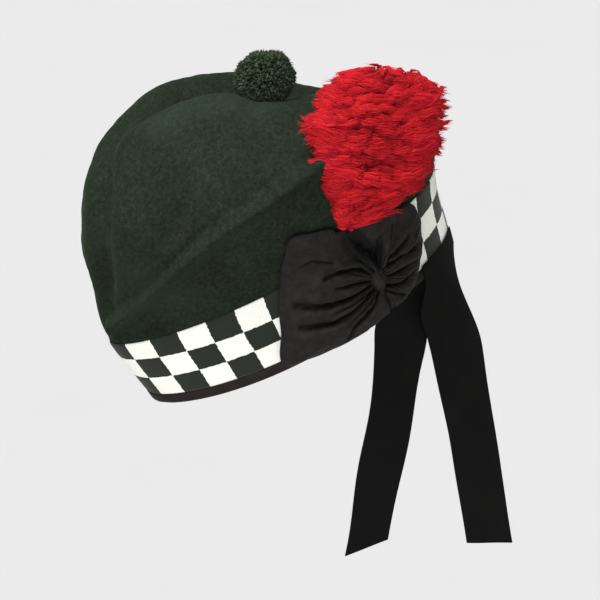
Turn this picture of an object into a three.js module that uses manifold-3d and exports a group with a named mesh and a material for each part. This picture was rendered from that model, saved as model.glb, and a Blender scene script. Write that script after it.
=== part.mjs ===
// A glengarry bonnet: a boat-shaped milled wool crown with a crease along its top, a diced band,
// a bound edge, a gathered ribbon cockade and a feather hackle on the wearer's left, a wool toorie
// in the crease, and two ribbon tails at the back.
//
// Units are millimetres, +Z is up. The wearer faces -Y and the wearer's left is +X. The origin is the
// middle of the head opening. The bonnet is pitched nose-down, as it sits on the head, and its tails
// hang plumb.
import * as THREE from 'three';
import Module from 'manifold-3d';
import { mergeVertices } from 'three/addons/utils/BufferGeometryUtils.js';

// ---------------------------------------------------------------- driving dimensions
const PITCH = THREE.MathUtils.degToRad(23); // how far the front of the bonnet is tipped down

const FELT = 2; // thickness of the crown's milled wool
const LAYER_GAP = 0.4; // air between one layer of cloth and the next

const BINDING = { height: 6, thickness: 1.3, below: 1.5 };
const BAND = { bottom: 6.4, top: 54, frontDip: 6, backDip: 4, thickness: 1.2 };

const TOORIE = { radius: 19.6, squash: 0.88, centre: [47, 25, 160.5], around: 28, up: 20 };

// Makes rows with named columns.
function table(columns, rows) {
  return rows.map((row) => Object.fromEntries(columns.map((column, k) => [column, row[k]])));
}

// Plan loops of the crown, from the head opening up over the ridges and down into the crease. Each loop
// is an egg: front and back are its reach along Y and half its half width. The three heights are at its
// front, side and back. egg narrows its front, point sharpens its front, blunt squares its back where
// it is below 0, and crest lifts its front half and drops its back half between those heights.
const LOOPS = table(
  ['name', 'front', 'back', 'half', 'zFront', 'zSide', 'zBack', 'egg', 'point', 'blunt', 'crest'],
  [
    ['brim', 107, 108, 66, -7.5, -5.5, 9, 0.2, 0, -0.25, -3],
    ['band_top', 119, 112, 77, 49, 46, 52, 0.22, 0.1, -0.25, 0],
    ['bulge', 115, 120, 86, 76, 92, 66, 0.2, 0.15, -0.2, 0],
    ['shoulder', 105, 129, 76, 118, 122, 70, 0.16, 0.25, -0.1, 4],
    ['upper', 82, 133, 52, 149, 140, 74, 0.05, 0.25, 0, 7],
    ['ridge', 58, 131, 23, 164, 147, 75, 0, 0.25, 0, 9],
    ['crease_side', 50, 125, 10, 159, 139, 74, 0, 0.25, 0, 9],
    ['crease', 46, 119, 0, 152, 133, 72, 0, 0, 0, 9],
  ],
);

// The crown leans to the wearer's left by across, coming in over the heights of rise and dying away
// toward the back over the places of back.
const LEAN = { across: 26, rise: [45, 120], back: [30, 125] };

// Soft folds that stand out of the wall where height is above 0 and sink into it where it is below, each
// through the points listed. They are placed before the crown is leant over.
const FOLDS = [
  { name: 'toorie_seat', height: -8, width: 15, through: [[19, 22, 155], [19, 32, 151]] },
  {
    name: 'far_lobe',
    height: 9.5,
    width: 26,
    through: [[-28, -101, 107], [-28, -84, 150], [-22, -35, 153]],
  },
  { name: 'far_crest', height: 4.5, width: 26, through: [[-24, 4, 160], [-20, 26, 151]] },
  {
    name: 'near_side_crease',
    height: -3,
    width: 6,
    through: [[38, 6, 154], [50, -16, 148], [54, -39, 138], [53, -62, 120], [49, -75, 107]],
  },
  {
    name: 'front_groove',
    height: -6,
    width: 10,
    through: [
      [-8, -44, 171], [-10, -58, 167], [-7, -75, 157], [5, -88, 141], [10, -99, 119], [10, -109, 90],
      [8, -113, 66],
    ],
  },
];

// The tuck: a roll of cloth that hangs over a hollow, on both sides, from the brow to past the ears. Its
// edge is listed by angle from the front and height up the cloth. The profile gives how far the cloth
// stands out at distances under the edge, and over it where they are below 0. It comes in over the
// angles of near on the wearer's left and of far on the right, dies away over those of back, and comes
// in over the first few millimetres above the band.
const TUCK = {
  edge: [
    [0, 57], [15, 63], [29, 73], [41, 86], [50, 97], [59, 106], [67, 112], [82, 119], [100, 124],
    [140, 118],
  ],
  profile: [[-13, 0], [-9.5, -1], [0, 6], [1.5, 5.6], [10, -3.5], [18, -4.5], [36, 0]],
  slope: 0.9,
  near: [3, 12],
  far: [18, 45],
  back: [110, 140],
  overBand: 8,
};

// The hackle's outline on its own sloping plane: up is along its quill, front and back its reach each
// side of it, and thick its whole thickness.
const HACKLE = { base: [105.7, 22.7, 68.8], tip: [106.8, 81.6, 162.4], sides: 18 };
const HACKLE_ROWS = table(
  ['up', 'front', 'back', 'thick'],
  [
    [5, 10, 10, 9],
    [10, 14, 20, 12],
    [17, 18, 27, 16],
    [32, 26, 40, 21],
    [47, 33, 46, 24],
    [61, 38, 48, 25],
    [74, 37, 48, 23],
    [85, 32, 45, 19],
    [94, 20, 38, 13],
    [99, 4, 27, 7],
  ],
);

// The cockade: loops of gathered ribbon fanned round a knot. The knot is placed by its angle round the
// bonnet and its height up the cloth, and its levels give the share of its radius at shares of its puff.
// A loop's reach from the knot is listed by direction in degrees, 0 to the back and 90 up. skew and
// fullness shape how it swells from the knot out, and ripple is the depth of its pleats.
const KNOT = {
  angle: 108.4,
  height: 28.5,
  radius: 7.4,
  puff: 13,
  sides: 16,
  levels: [[0.8, 0], [1, 0.25], [1, 0.7], [0.75, 0.93], [0.3, 1]],
};
const LOOP = {
  start: 8,
  leaf: 1,
  mouth: 3.2,
  radiansPerMm: 1 / 107,
  stations: 16,
  along: 6,
  skew: 1.2,
  fullness: 0.7,
  ripple: 1.5,
};
const COCKADE = [
  {
    name: 'cockade_front_loop',
    puff: 9,
    pleats: 4,
    reach: [
      [116, 56], [121.5, 63], [127.5, 72.5], [136.5, 66], [154, 58.5], [180, 61], [197.5, 73.5],
      [203.5, 63.5], [214, 49.5], [225, 40.5], [239, 33.3], [258, 29.2], [266, 28.7],
    ],
  },
  {
    name: 'cockade_top_loop',
    puff: 6,
    pleats: 2,
    reach: [[44, 41], [62, 41], [85, 41.5], [101, 43], [112.5, 51]],
  },
  {
    name: 'cockade_back_loop',
    puff: 8,
    pleats: 3,
    reach: [
      [-86, 27.5], [-70, 28.5], [-52, 31], [-38, 33], [-20, 33.5], [-3, 38.5], [10, 43], [20, 46.5],
      [32, 47], [41, 42],
    ],
  },
];

// Ribbon tails, each stitched to the rim and hanging free below it. angle is where it leaves the rim and
// offset how far it stands off the crown's wall there. through lists points of its middle line below the
// rim, facing turns its width about the vertical at its end, slant is the cut of that end, and flare is
// how much wider than that end it is at the rim, where its gathers are let out. Over the first share
// called settle a tail turns from the rim's line to its own, and clear is how far it runs on under the
// binding first.
const TAIL = { width: 32, thickness: 0.9, across: 6, rows: 26, settle: 0.3, clear: 1, cutPower: 4 };
const TAILS = [
  {
    name: 'tail_left',
    angle: 126,
    offset: -4.6,
    top: 5,
    through: [[56, 52, 15], [53, 50, -15], [51, 41, -77], [49, 29, -148]],
    facing: 97,
    slant: -6,
    flare: 0.4,
  },
  {
    name: 'tail_right',
    angle: 143,
    offset: 3,
    top: 9,
    through: [[57, 77.5, 14], [56, 85.5, -13], [51, 94, -46], [46, 107, -100], [45, 117.5, -156]],
    facing: 84,
    slant: 3,
    flare: 0.3,
  },
];

const ROUNDED = 0.06; // how far the loops' power curves are rounded off at the front and back
const AROUND = 72; // segments round each loop
const BAND_STEPS = 4; // rings of the band
const TUCK_RINGS = [0.3, 0.55, 0.75, 0.88, 1]; // rings from the band's top to the tuck's edge, as shares
const TUCK_BACK = 10; // how far over the edge the next ring runs
const UPPER_RINGS = 12; // rings from there to the crease
const CURVE_SAMPLES = 160; // samples for measuring a column's length
const SAME_POINT = 1e-4; // points closer than this are one
const SAME_HEIGHT = 0.01; // heights closer than this to a column's top are on the seam
const ANGLE_STEP = 0.01; // the angle over which slopes round the bonnet are measured

// ---------------------------------------------------------------- the crown's surface
const UP = new THREE.Vector3(0, 0, 1);
const radians = THREE.MathUtils.degToRad;
const { smoothstep } = THREE.MathUtils;

function loopPoint(loop, t) {
  const c = Math.cos(t);
  const s = Math.sin(t);
  const power = 1 + (loop.point * (1 + c)) / 2 + (loop.blunt * (1 - c)) / 2;
  const x = loop.half * s * (s * s + ROUNDED) ** ((power - 1) / 2) * (1 - loop.egg * c);
  const y = (loop.back - loop.front) / 2 - ((loop.front + loop.back) / 2) * c;
  const tip = (loop.zFront - loop.zBack) / 2;
  const sag = (loop.zFront + loop.zBack) / 2 - loop.zSide;
  return new THREE.Vector3(x, y, loop.zSide + tip * c + sag * c * c + loop.crest * (c - c ** 3));
}

// The curve up the wall at angle t, from the brim to the crease. t is 0 at the front and PI at the back.
const columns = new Map();
function column(t) {
  const key = t.toFixed(6);
  if (!columns.has(key)) {
    const curve = new THREE.CatmullRomCurve3(LOOPS.map((loop) => loopPoint(loop, t)), false, 'centripetal');
    curve.arcLengthDivisions = CURVE_SAMPLES;
    columns.set(key, curve);
  }
  return columns.get(key);
}

const foldLines = FOLDS.map((fold) => {
  const points = fold.through.map((place) => new THREE.Vector3(...place));
  return { ...fold, pieces: points.slice(1).map((point, i) => new THREE.Line3(points[i], point)) };
});

// How far the soft folds move the wall at a point.
function foldHeight(point) {
  const near = new THREE.Vector3();
  return foldLines.reduce((sum, fold) => {
    const away = fold.pieces.map((line) => line.closestPointToPoint(point, true, near).distanceTo(point));
    return sum + fold.height * Math.exp(-((Math.min(...away) / fold.width) ** 2));
  }, 0);
}

// Reads a table of [x, value] rows at x, with straight lines between its rows.
function straight(rows, x) {
  const k = Math.max(1, rows.findIndex(([mark]) => mark >= x));
  if (x >= rows.at(-1)[0]) return rows.at(-1)[1];
  const [[x0, v0], [x1, v1]] = [rows[k - 1], rows[k]];
  return THREE.MathUtils.lerp(v0, v1, Math.max(0, (x - x0) / (x1 - x0)));
}

// Reads a table of [x, value] rows at x along a smooth curve through them.
function eased(rows, x) {
  if (x >= rows.at(-1)[0]) return rows.at(-1)[1];
  const k = Math.max(1, rows.findIndex(([mark]) => mark >= x));
  const slope = (i) => {
    const [[x0, v0], [x1, v1]] = [rows[Math.max(i - 1, 0)], rows[Math.min(i + 1, rows.length - 1)]];
    return (v1 - v0) / (x1 - x0);
  };
  const [[x0, v0], [x1, v1]] = [rows[k - 1], rows[k]];
  const step = x1 - x0;
  const w = (x - x0) / step;
  const rise = 3 * w ** 2 - 2 * w ** 3;
  const leaving = (w ** 3 - 2 * w ** 2 + w) * slope(k - 1);
  const arriving = (w ** 3 - w ** 2) * slope(k);
  return v0 + (v1 - v0) * rise + (leaving + arriving) * step;
}

const fromFront = (t) => THREE.MathUtils.radToDeg(Math.acos(Math.cos(t)));
const tuckEdge = (t) => eased(TUCK.edge, fromFront(t));

// How far the tuck moves the wall at angle t and height h.
function tuckHeight(t, h) {
  const turn = fromFront(t);
  const start = Math.sin(t) > 0 ? TUCK.near : TUCK.far;
  const fade = smoothstep(turn, ...start) * (1 - smoothstep(turn, ...TUCK.back));
  const clear = smoothstep(h - bandTop(t), 0, TUCK.overBand);
  return straight(TUCK.profile, (tuckEdge(t) - h) * TUCK.slope) * fade * clear;
}

// Leans a point of the crown over to the wearer's left.
function lean(point) {
  const rise = smoothstep(point.z, ...LEAN.rise);
  point.x += LEAN.across * rise * (1 - smoothstep(point.y, ...LEAN.back));
  return point;
}

// The point at angle t, h millimetres of cloth up from the brim, offset outward from the wall. Below 0
// the wall runs straight on, and at the top of the column is the seam of the crease.
function onWall(t, h, offset) {
  const length = column(t).getLength();
  if (h > length - SAME_HEIGHT) {
    const seam = column(t).getPoint(1);
    return lean(seam.addScaledVector(UP, offset + foldHeight(seam)));
  }
  const share = Math.max(h, 0) / length;
  const place = (angle) => {
    const curve = column(angle);
    const point = curve.getPointAt(share);
    if (h < 0) point.addScaledVector(curve.getTangentAt(0), h);
    return point;
  };
  const point = place(t);
  const around = place(t + ANGLE_STEP).sub(place(t - ANGLE_STEP));
  const normal = around.cross(column(t).getTangentAt(share)).normalize();
  return lean(point.addScaledVector(normal, offset + foldHeight(point) + tuckHeight(t, h)));
}

function bandTop(t) {
  const c = Math.cos(t);
  return BAND.top - (c > 0 ? BAND.frontDip : BAND.backDip) * c * c;
}

function bandHeights(t) {
  const step = (bandTop(t) - BAND.bottom) / BAND_STEPS;
  return Array.from({ length: BAND_STEPS + 1 }, (_, k) => BAND.bottom + step * k);
}

// Heights of the rings of cloth at angle t: those the binding and band share, those that follow the
// tuck, and even steps from there to the crease.
function ringHeights(t) {
  const low = bandTop(t);
  const edge = tuckEdge(t);
  const tuck = TUCK_RINGS.map((share) => low + share * (edge - low));
  const back = edge + TUCK_BACK;
  const rise = (column(t).getLength() - back) / UPPER_RINGS;
  const even = Array.from({ length: UPPER_RINGS + 1 }, (_, k) => back + rise * k);
  return [0, BINDING.height, ...bandHeights(t), ...tuck, ...even];
}

// Wall rings at one offset, listed from the brim to the crease.
function wallRings(offset) {
  const angles = Array.from({ length: AROUND }, (_, i) => (2 * Math.PI * i) / AROUND);
  const upright = angles.map((t) => ringHeights(t).map((h) => onWall(t, h, offset)));
  return upright[0].map((_, r) => upright.map((points) => points[r]));
}

// ---------------------------------------------------------------- mesh helpers
// A geometry from points and faces, with doubled points joined and emptied faces dropped.
function geometryOf(points, faces) {
  const geometry = new THREE.BufferGeometry();
  const places = points.flatMap((p) => [p.x, p.y, p.z]);
  geometry.setAttribute('position', new THREE.Float32BufferAttribute(places, 3));
  geometry.setIndex(faces);
  const merged = mergeVertices(geometry, SAME_POINT);
  const kept = [];
  for (let i = 0; i < merged.index.count; i += 3) {
    const [a, b, c] = [0, 1, 2].map((k) => merged.index.getX(i + k));
    if (a !== b && b !== c && c !== a) kept.push(a, b, c);
  }
  merged.setIndex(kept);
  merged.computeVertexNormals();
  return merged;
}

const quad = (a, b, c, d) => [a, b, c, a, c, d];

// A skin over rows of points, with start the number of its first point. Rows that close on themselves
// are ringed, and flip turns the skin to face the other way.
function skin(rows, start, { ringed = false, flip = false } = {}) {
  const width = rows[0].length;
  const faces = [];
  for (let r = 0; r < rows.length - 1; r += 1) {
    for (let i = 0; i < (ringed ? width : width - 1); i += 1) {
      const j = (i + 1) % width;
      const [a, b] = [start + r * width + i, start + r * width + j];
      const [c, d] = [b + width, a + width];
      faces.push(...(flip ? [a, c, b, a, d, c] : quad(a, b, c, d)));
    }
  }
  return faces;
}

// A closed body swept through outlines that each close on themselves. If round is true the last outline
// joins the first; otherwise each end is closed straight across, from one half of its outline to the other.
function swept(outlines, round) {
  const rows = round ? [...outlines, outlines[0]] : outlines;
  const width = rows[0].length;
  const faces = skin(rows, 0, { ringed: true });
  if (!round) {
    const last = (rows.length - 1) * width;
    for (let k = 0; k < width / 2 - 1; k += 1) {
      const [m, n] = [width - 1 - k, width - 2 - k];
      faces.push(...quad(k, m, n, k + 1), ...quad(last + k, last + k + 1, last + n, last + m));
    }
  }
  return geometryOf(rows.flat(), faces);
}

// A sleeve of cloth: an outer and an inner outline at each station, joined by a rim at both ends.
function sleeve(outers, inners) {
  const width = outers[0].length;
  const count = outers.length * width;
  const outside = skin(outers, 0, { ringed: true });
  const inside = skin(inners, count, { ringed: true, flip: true });
  const faces = [...outside, ...inside];
  const last = (outers.length - 1) * width;
  for (let k = 0; k < width; k += 1) {
    const m = (k + 1) % width;
    faces.push(...quad(k, k + count, m + count, m));
    faces.push(...quad(last + m, last + m + count, last + k + count, last + k));
  }
  return geometryOf([...outers.flat(), ...inners.flat()], faces);
}

const wasm = await Module();
wasm.setup();

function solidOf(geometry) {
  const mesh = new wasm.Mesh({
    numProp: 3,
    vertProperties: new Float32Array(geometry.attributes.position.array),
    triVerts: new Uint32Array(geometry.index.array),
  });
  return new wasm.Manifold(mesh);
}

function geometryOfSolid(solid) {
  const mesh = solid.getMesh();
  const points = [];
  for (let i = 0; i < mesh.numVert; i += 1) {
    points.push(new THREE.Vector3().fromArray(mesh.vertProperties, i * mesh.numProp));
  }
  return geometryOf(points, Array.from(mesh.triVerts));
}

const materials = {
  felt: new THREE.MeshStandardMaterial({ color: 0x323931, roughness: 0.95, metalness: 0 }),
  dicing: new THREE.MeshStandardMaterial({ color: 0x9aa092, roughness: 0.9, metalness: 0 }),
  binding: new THREE.MeshStandardMaterial({ color: 0x3c3733, roughness: 0.6, metalness: 0 }),
  taffeta: new THREE.MeshStandardMaterial({ color: 0x262523, roughness: 0.5, metalness: 0 }),
  ribbon: new THREE.MeshStandardMaterial({ color: 0x171717, roughness: 0.7, metalness: 0 }),
  feather: new THREE.MeshStandardMaterial({ color: 0xa41e23, roughness: 0.85, metalness: 0 }),
  pile: new THREE.MeshStandardMaterial({ color: 0x2b3329, roughness: 1, metalness: 0 }),
};

function piece(name, geometry, material) {
  const mesh = new THREE.Mesh(geometry, material);
  mesh.name = name;
  return mesh;
}

// ---------------------------------------------------------------- crown, band and binding
function crownGeometry() {
  const outer = wallRings(0);
  const inner = wallRings(-FELT);
  const count = outer.flat().length;
  const faces = [
    ...skin(outer, 0, { ringed: true }),
    ...skin(inner, count, { ringed: true, flip: true }),
  ];
  for (let i = 0; i < AROUND; i += 1) {
    const j = (i + 1) % AROUND;
    faces.push(...quad(i, i + count, j + count, j));
  }
  return geometryOf([...outer.flat(), ...inner.flat()], faces);
}

function roundTheBonnet(outline) {
  const outlines = Array.from({ length: AROUND }, (_, i) => outline((2 * Math.PI * i) / AROUND));
  return swept(outlines.reverse(), true);
}

function bandOutline(t) {
  const outside = bandHeights(t).map((h) => onWall(t, h, LAYER_GAP + BAND.thickness));
  const inside = bandHeights(t).map((h) => onWall(t, h, LAYER_GAP));
  return [...outside, ...inside.reverse()];
}

// The binding is a tape folded over the rim, outside and inside.
function bindingOutline(t) {
  const inner = -FELT - LAYER_GAP;
  const corners = [
    [-BINDING.below, LAYER_GAP + BINDING.thickness],
    [BINDING.height, LAYER_GAP + BINDING.thickness],
    [BINDING.height, LAYER_GAP],
    [-LAYER_GAP, LAYER_GAP],
    [-LAYER_GAP, inner],
    [BINDING.height, inner],
    [BINDING.height, inner - BINDING.thickness],
    [-BINDING.below, inner - BINDING.thickness],
  ];
  return corners.map(([h, offset]) => onWall(t, h, offset));
}

// The room the crown takes up with a margin round it, as one solid block, to cut other pieces against.
function crownBlock(margin) {
  const rings = wallRings(margin);
  const points = rings.flat();
  const faces = skin(rings, 0, { ringed: true });
  const middle = new THREE.Vector3().add(rings[0][0]).lerp(rings[0][AROUND / 2], 0.5);
  points.push(middle);
  for (let i = 0; i < AROUND; i += 1) faces.push((i + 1) % AROUND, i, points.length - 1);
  return solidOf(geometryOf(points, faces));
}

const bonnet = new THREE.Group();
bonnet.rotation.x = PITCH;
bonnet.add(piece('crown', crownGeometry(), materials.felt));
bonnet.add(piece('diced_band', roundTheBonnet(bandOutline), materials.dicing));
bonnet.add(piece('binding', roundTheBonnet(bindingOutline), materials.binding));

// ---------------------------------------------------------------- toorie
const block = crownBlock(LAYER_GAP);

function toorieGeometry() {
  const sphere = new THREE.SphereGeometry(TOORIE.radius, TOORIE.around, TOORIE.up);
  const ball = mergeVertices(sphere.deleteAttribute('normal').deleteAttribute('uv'));
  ball.rotateX(Math.PI / 2);
  ball.scale(1, 1, TOORIE.squash);
  ball.translate(...TOORIE.centre);
  return geometryOfSolid(solidOf(ball).subtract(block));
}
bonnet.add(piece('toorie', toorieGeometry(), materials.pile));

// ---------------------------------------------------------------- hackle
function hackleGeometry() {
  const base = new THREE.Vector3(...HACKLE.base);
  const up = new THREE.Vector3(...HACKLE.tip).sub(base).normalize();
  const out = new THREE.Vector3(1, 0, 0).projectOnPlane(up).normalize();
  const back = new THREE.Vector3().crossVectors(up, out).normalize();
  const outlines = HACKLE_ROWS.map((row) => {
    const middle = (row.back - row.front) / 2;
    const half = (row.back + row.front) / 2;
    return Array.from({ length: HACKLE.sides }, (_, k) => {
      const angle = (2 * Math.PI * k) / HACKLE.sides;
      return base
        .clone()
        .addScaledVector(up, row.up)
        .addScaledVector(back, middle + half * Math.cos(angle))
        .addScaledVector(out, (row.thick / 2) * Math.sin(angle));
    });
  });
  return geometryOfSolid(solidOf(swept(outlines.reverse(), false)).subtract(block));
}
bonnet.add(piece('hackle', hackleGeometry(), materials.feather));

// ---------------------------------------------------------------- cockade
const OVER_BAND = BAND.thickness + 3 * LAYER_GAP; // where the cockade's lowest cloth lies

// A point of the cockade: direction and distance from the knot along the wall, and its height off it.
function onCockade(direction, distance, offset) {
  const along = distance * Math.cos(direction);
  const t = radians(KNOT.angle) + along * LOOP.radiansPerMm;
  return onWall(t, KNOT.height + distance * Math.sin(direction), offset);
}

function loopGeometry({ reach, puff, pleats }) {
  const spline = new THREE.SplineCurve(reach.map(([angle, r]) => new THREE.Vector2(angle, r)));
  const outers = [];
  const inners = [];
  for (let i = 0; i <= LOOP.stations; i += 1) {
    const share = i / LOOP.stations;
    const { x: angle, y: far } = spline.getPoint(share);
    const ripple = LOOP.ripple * Math.cos(2 * Math.PI * pleats * share);
    const swell = (q) => Math.sin(Math.PI * q ** LOOP.skew) ** LOOP.fullness;
    const crownOf = (q) => LOOP.mouth + (puff + ripple * (1 - q)) * swell(q);
    const outline = (inset) => {
      const near = LOOP.start + inset;
      const span = far - inset - near;
      const steps = Array.from({ length: LOOP.along + 1 }, (_, k) => k / LOOP.along);
      const front = steps.map((q) => [near + span * q, OVER_BAND + crownOf(q) - inset]);
      const back = steps.reverse().map((q) => [near + span * q, OVER_BAND + inset]);
      return [...front, ...back].map(([r, offset]) => onCockade(radians(angle), r, offset));
    };
    outers.push(outline(0));
    inners.push(outline(LOOP.leaf));
  }
  return sleeve(outers, inners);
}

function knotGeometry() {
  const outlines = KNOT.levels.map(([share, rise]) => {
    return Array.from({ length: KNOT.sides }, (_, k) => {
      const direction = (2 * Math.PI * k) / KNOT.sides;
      return onCockade(direction, KNOT.radius * share, OVER_BAND + KNOT.puff * rise);
    });
  });
  return swept(outlines, false);
}

for (const loop of COCKADE) bonnet.add(piece(loop.name, loopGeometry(loop), materials.taffeta));
bonnet.add(piece('cockade_knot', knotGeometry(), materials.taffeta));

// ---------------------------------------------------------------- ribbon tails
const onHat = (t, h, offset) => onWall(t, h, offset).applyAxisAngle(new THREE.Vector3(1, 0, 0), PITCH);

function tailGeometry(tail) {
  const angle = radians(tail.angle);
  const ends = [angle - ANGLE_STEP, angle + ANGLE_STEP].map((t) => onHat(t, 0, tail.offset));
  const rate = ends[0].distanceTo(ends[1]) / (2 * ANGLE_STEP);
  const shares = Array.from({ length: TAIL.across + 1 }, (_, k) => k / TAIL.across - 0.5);
  const wide = TAIL.width * (1 + tail.flare);
  const rim = (h) => shares.map((w) => onHat(angle + (w * wide) / rate, h, tail.offset));
  const low = -BINDING.below - TAIL.clear;
  const root = rim(low);
  const start = root[TAIL.across / 2].clone();
  const line = new THREE.CatmullRomCurve3([start, ...tail.through.map((p) => new THREE.Vector3(...p))]);
  const facing = new THREE.Vector3(Math.cos(radians(tail.facing)), Math.sin(radians(tail.facing)), 0);
  const hanging = Array.from({ length: TAIL.rows }, (_, r) => {
    const share = (r + 1) / TAIL.rows;
    const middle = line.getPointAt(share);
    const settle = 1 - smoothstep(share, 0, TAIL.settle);
    return shares.map((w, k) => {
      const reach = w * TAIL.width * (1 + tail.flare * (1 - share) ** 2);
      const flat = middle.clone().addScaledVector(facing, reach);
      const rootFlat = start.clone().addScaledVector(facing, reach);
      const cut = -tail.slant * w * share ** TAIL.cutPower;
      return flat.addScaledVector(root[k].clone().sub(rootFlat), settle).addScaledVector(UP, cut);
    });
  });
  const rows = [rim(tail.top), rim((tail.top + low) / 2), root, ...hanging];
  return stripGeometry(rows, TAIL.thickness);
}

// A strip of cloth of even thickness through rows of points.
function stripGeometry(rows, thickness) {
  const normals = rows.map((row, r) => {
    const before = rows[Math.max(r - 1, 0)];
    const after = rows[Math.min(r + 1, rows.length - 1)];
    return row.map((_, k) => {
      const across = row[Math.min(k + 1, row.length - 1)].clone().sub(row[Math.max(k - 1, 0)]);
      return across.cross(after[k].clone().sub(before[k])).normalize();
    });
  });
  const shifted = (p, r, k, by) => p.clone().addScaledVector(normals[r][k], by);
  const layer = (by) => rows.map((row, r) => row.map((p, k) => shifted(p, r, k, by)));
  const [front, back] = [layer(thickness / 2), layer(-thickness / 2)];
  return swept(front.map((row, r) => [...row, ...back[r].reverse()]), false);
}

const glengarry = new THREE.Group();
glengarry.add(bonnet);
for (const tail of TAILS) glengarry.add(piece(tail.name, tailGeometry(tail), materials.ribbon));
export default glengarry;
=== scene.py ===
"""The look of a glengarry bonnet: milled wool crown, diced band, bound rim, gathered ribbon cockade,
feather hackle, wool toorie and two ribbon tails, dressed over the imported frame.

Sizes are in millimetres in the classes and become metres when a mesh is made. The bonnet's own axes are
+X to the wearer's left, +Y to the back and +Z up. It is pitched nose down, as it sits on a head.
"""

import logging
import math
from collections.abc import Callable
from dataclasses import dataclass, field
from enum import Enum
from functools import partial

import bpy
import numpy as np
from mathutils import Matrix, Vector


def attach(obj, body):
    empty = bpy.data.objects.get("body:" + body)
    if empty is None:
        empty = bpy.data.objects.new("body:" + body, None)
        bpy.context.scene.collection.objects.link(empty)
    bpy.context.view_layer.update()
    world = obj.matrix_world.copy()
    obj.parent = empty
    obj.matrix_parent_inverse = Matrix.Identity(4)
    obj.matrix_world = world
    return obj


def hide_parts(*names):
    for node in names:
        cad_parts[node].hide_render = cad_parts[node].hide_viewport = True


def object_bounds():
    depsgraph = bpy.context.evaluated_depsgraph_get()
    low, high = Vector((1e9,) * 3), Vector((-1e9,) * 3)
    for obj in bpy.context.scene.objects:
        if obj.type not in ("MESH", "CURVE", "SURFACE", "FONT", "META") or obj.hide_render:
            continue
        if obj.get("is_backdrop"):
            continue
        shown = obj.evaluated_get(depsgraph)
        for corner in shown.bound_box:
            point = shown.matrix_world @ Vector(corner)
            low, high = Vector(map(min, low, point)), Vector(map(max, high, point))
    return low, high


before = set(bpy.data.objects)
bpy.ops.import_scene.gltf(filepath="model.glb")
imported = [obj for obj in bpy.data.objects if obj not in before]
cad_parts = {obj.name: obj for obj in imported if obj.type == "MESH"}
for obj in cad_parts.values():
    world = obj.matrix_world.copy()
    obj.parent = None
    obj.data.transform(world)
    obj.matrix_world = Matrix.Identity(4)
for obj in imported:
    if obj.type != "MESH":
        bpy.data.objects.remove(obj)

LOG = logging.getLogger("glengarry")

MM = 0.001
PITCH = math.radians(23)
FELT = 2.0
LAYER_GAP = 0.4
BAND_THICKNESS = 1.2
OVER_BAND = BAND_THICKNESS + 3 * LAYER_GAP
BAND_TOP = 54.0
BAND_DIP_FRONT = 6.0
BAND_DIP_BACK = 4.0
ROUNDED = 0.06
CHART_SHIFT = (64, 10)
TINY = 1e-9
TURN = 2 * math.pi

Array = np.ndarray
Socket = bpy.types.NodeSocket


# ------------------------------------------------------------------------------ small tools


def linear(code: str) -> tuple[float, float, float, float]:
    """Turns an sRGB hex colour into linear light.

    Args:
        code: The colour, such as "#32392f".

    Returns:
        Red, green, blue and an alpha of one.
    """
    parts = [int(code[i : i + 2], 16) / 255 for i in (1, 3, 5)]
    light = [p / 12.92 if p <= 0.04045 else ((p + 0.055) / 1.055) ** 2.4 for p in parts]
    return (light[0], light[1], light[2], 1.0)


def smooth(x: Array, low: float, high: float) -> Array:
    """Rises smoothly from 0 at low to 1 at high."""
    s = np.clip((x - low) / (high - low), 0, 1)
    return s * s * (3 - 2 * s)


def unit(v: Array) -> Array:
    """Scales vectors along the last axis to length one."""
    return v / np.maximum(np.linalg.norm(v, axis=-1, keepdims=True), TINY)


def to_frame(points: Array) -> Array:
    """Tips points from the bonnet's own axes to the frame's, about the X axis.

    Args:
        points: Points in millimetres, with the coordinates last.

    Returns:
        The tipped points.
    """
    c, s = math.cos(PITCH), math.sin(PITCH)
    out = points.copy()
    out[..., 1] = points[..., 1] * c - points[..., 2] * s
    out[..., 2] = points[..., 1] * s + points[..., 2] * c
    return out


def near_line(points: Array, line: Array) -> tuple[Array, Array]:
    """Finds how far points lie from a line of straight pieces.

    Args:
        points: Points, with any leading shape and the coordinates last.
        line: The line's points in order.

    Returns:
        The distance of each point, and how far along the line its nearest place is, from 0 to 1.
    """
    best = np.full(points.shape[:-1], np.inf)
    along = np.zeros(points.shape[:-1])
    lengths = np.linalg.norm(np.diff(line, axis=0), axis=1)
    before = np.concatenate([[0], np.cumsum(lengths)])
    for k, (a, b) in enumerate(zip(line[:-1], line[1:])):
        share = np.clip(((points - a) @ (b - a)) / max(float((b - a) @ (b - a)), TINY), 0, 1)
        away = np.linalg.norm(points - (a + share[..., None] * (b - a)), axis=-1)
        along = np.where(away < best, (before[k] + share * lengths[k]) / before[-1], along)
        best = np.minimum(best, away)
    return best, along


def eased(rows: Array, x: Array) -> Array:
    """Reads a table at places x along a smooth curve through its rows.

    Args:
        rows: The table's rows, each a place and its value.
        x: The places to read.

    Returns:
        The values.
    """
    mark, value = np.array(rows, float).T
    k = np.arange(len(mark))
    before, after = np.maximum(k - 1, 0), np.minimum(k + 1, len(mark) - 1)
    slope = (value[after] - value[before]) / (mark[after] - mark[before])
    x = np.clip(x, mark[0], mark[-1])
    k = np.clip(np.searchsorted(mark, x, side="right") - 1, 0, len(mark) - 2)
    step = mark[k + 1] - mark[k]
    w = (x - mark[k]) / step
    rise = 3 * w**2 - 2 * w**3
    bend = (w**3 - 2 * w**2 + w) * slope[k] + (w**3 - w**2) * slope[k + 1]
    return value[k] + (value[k + 1] - value[k]) * rise + bend * step


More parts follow.
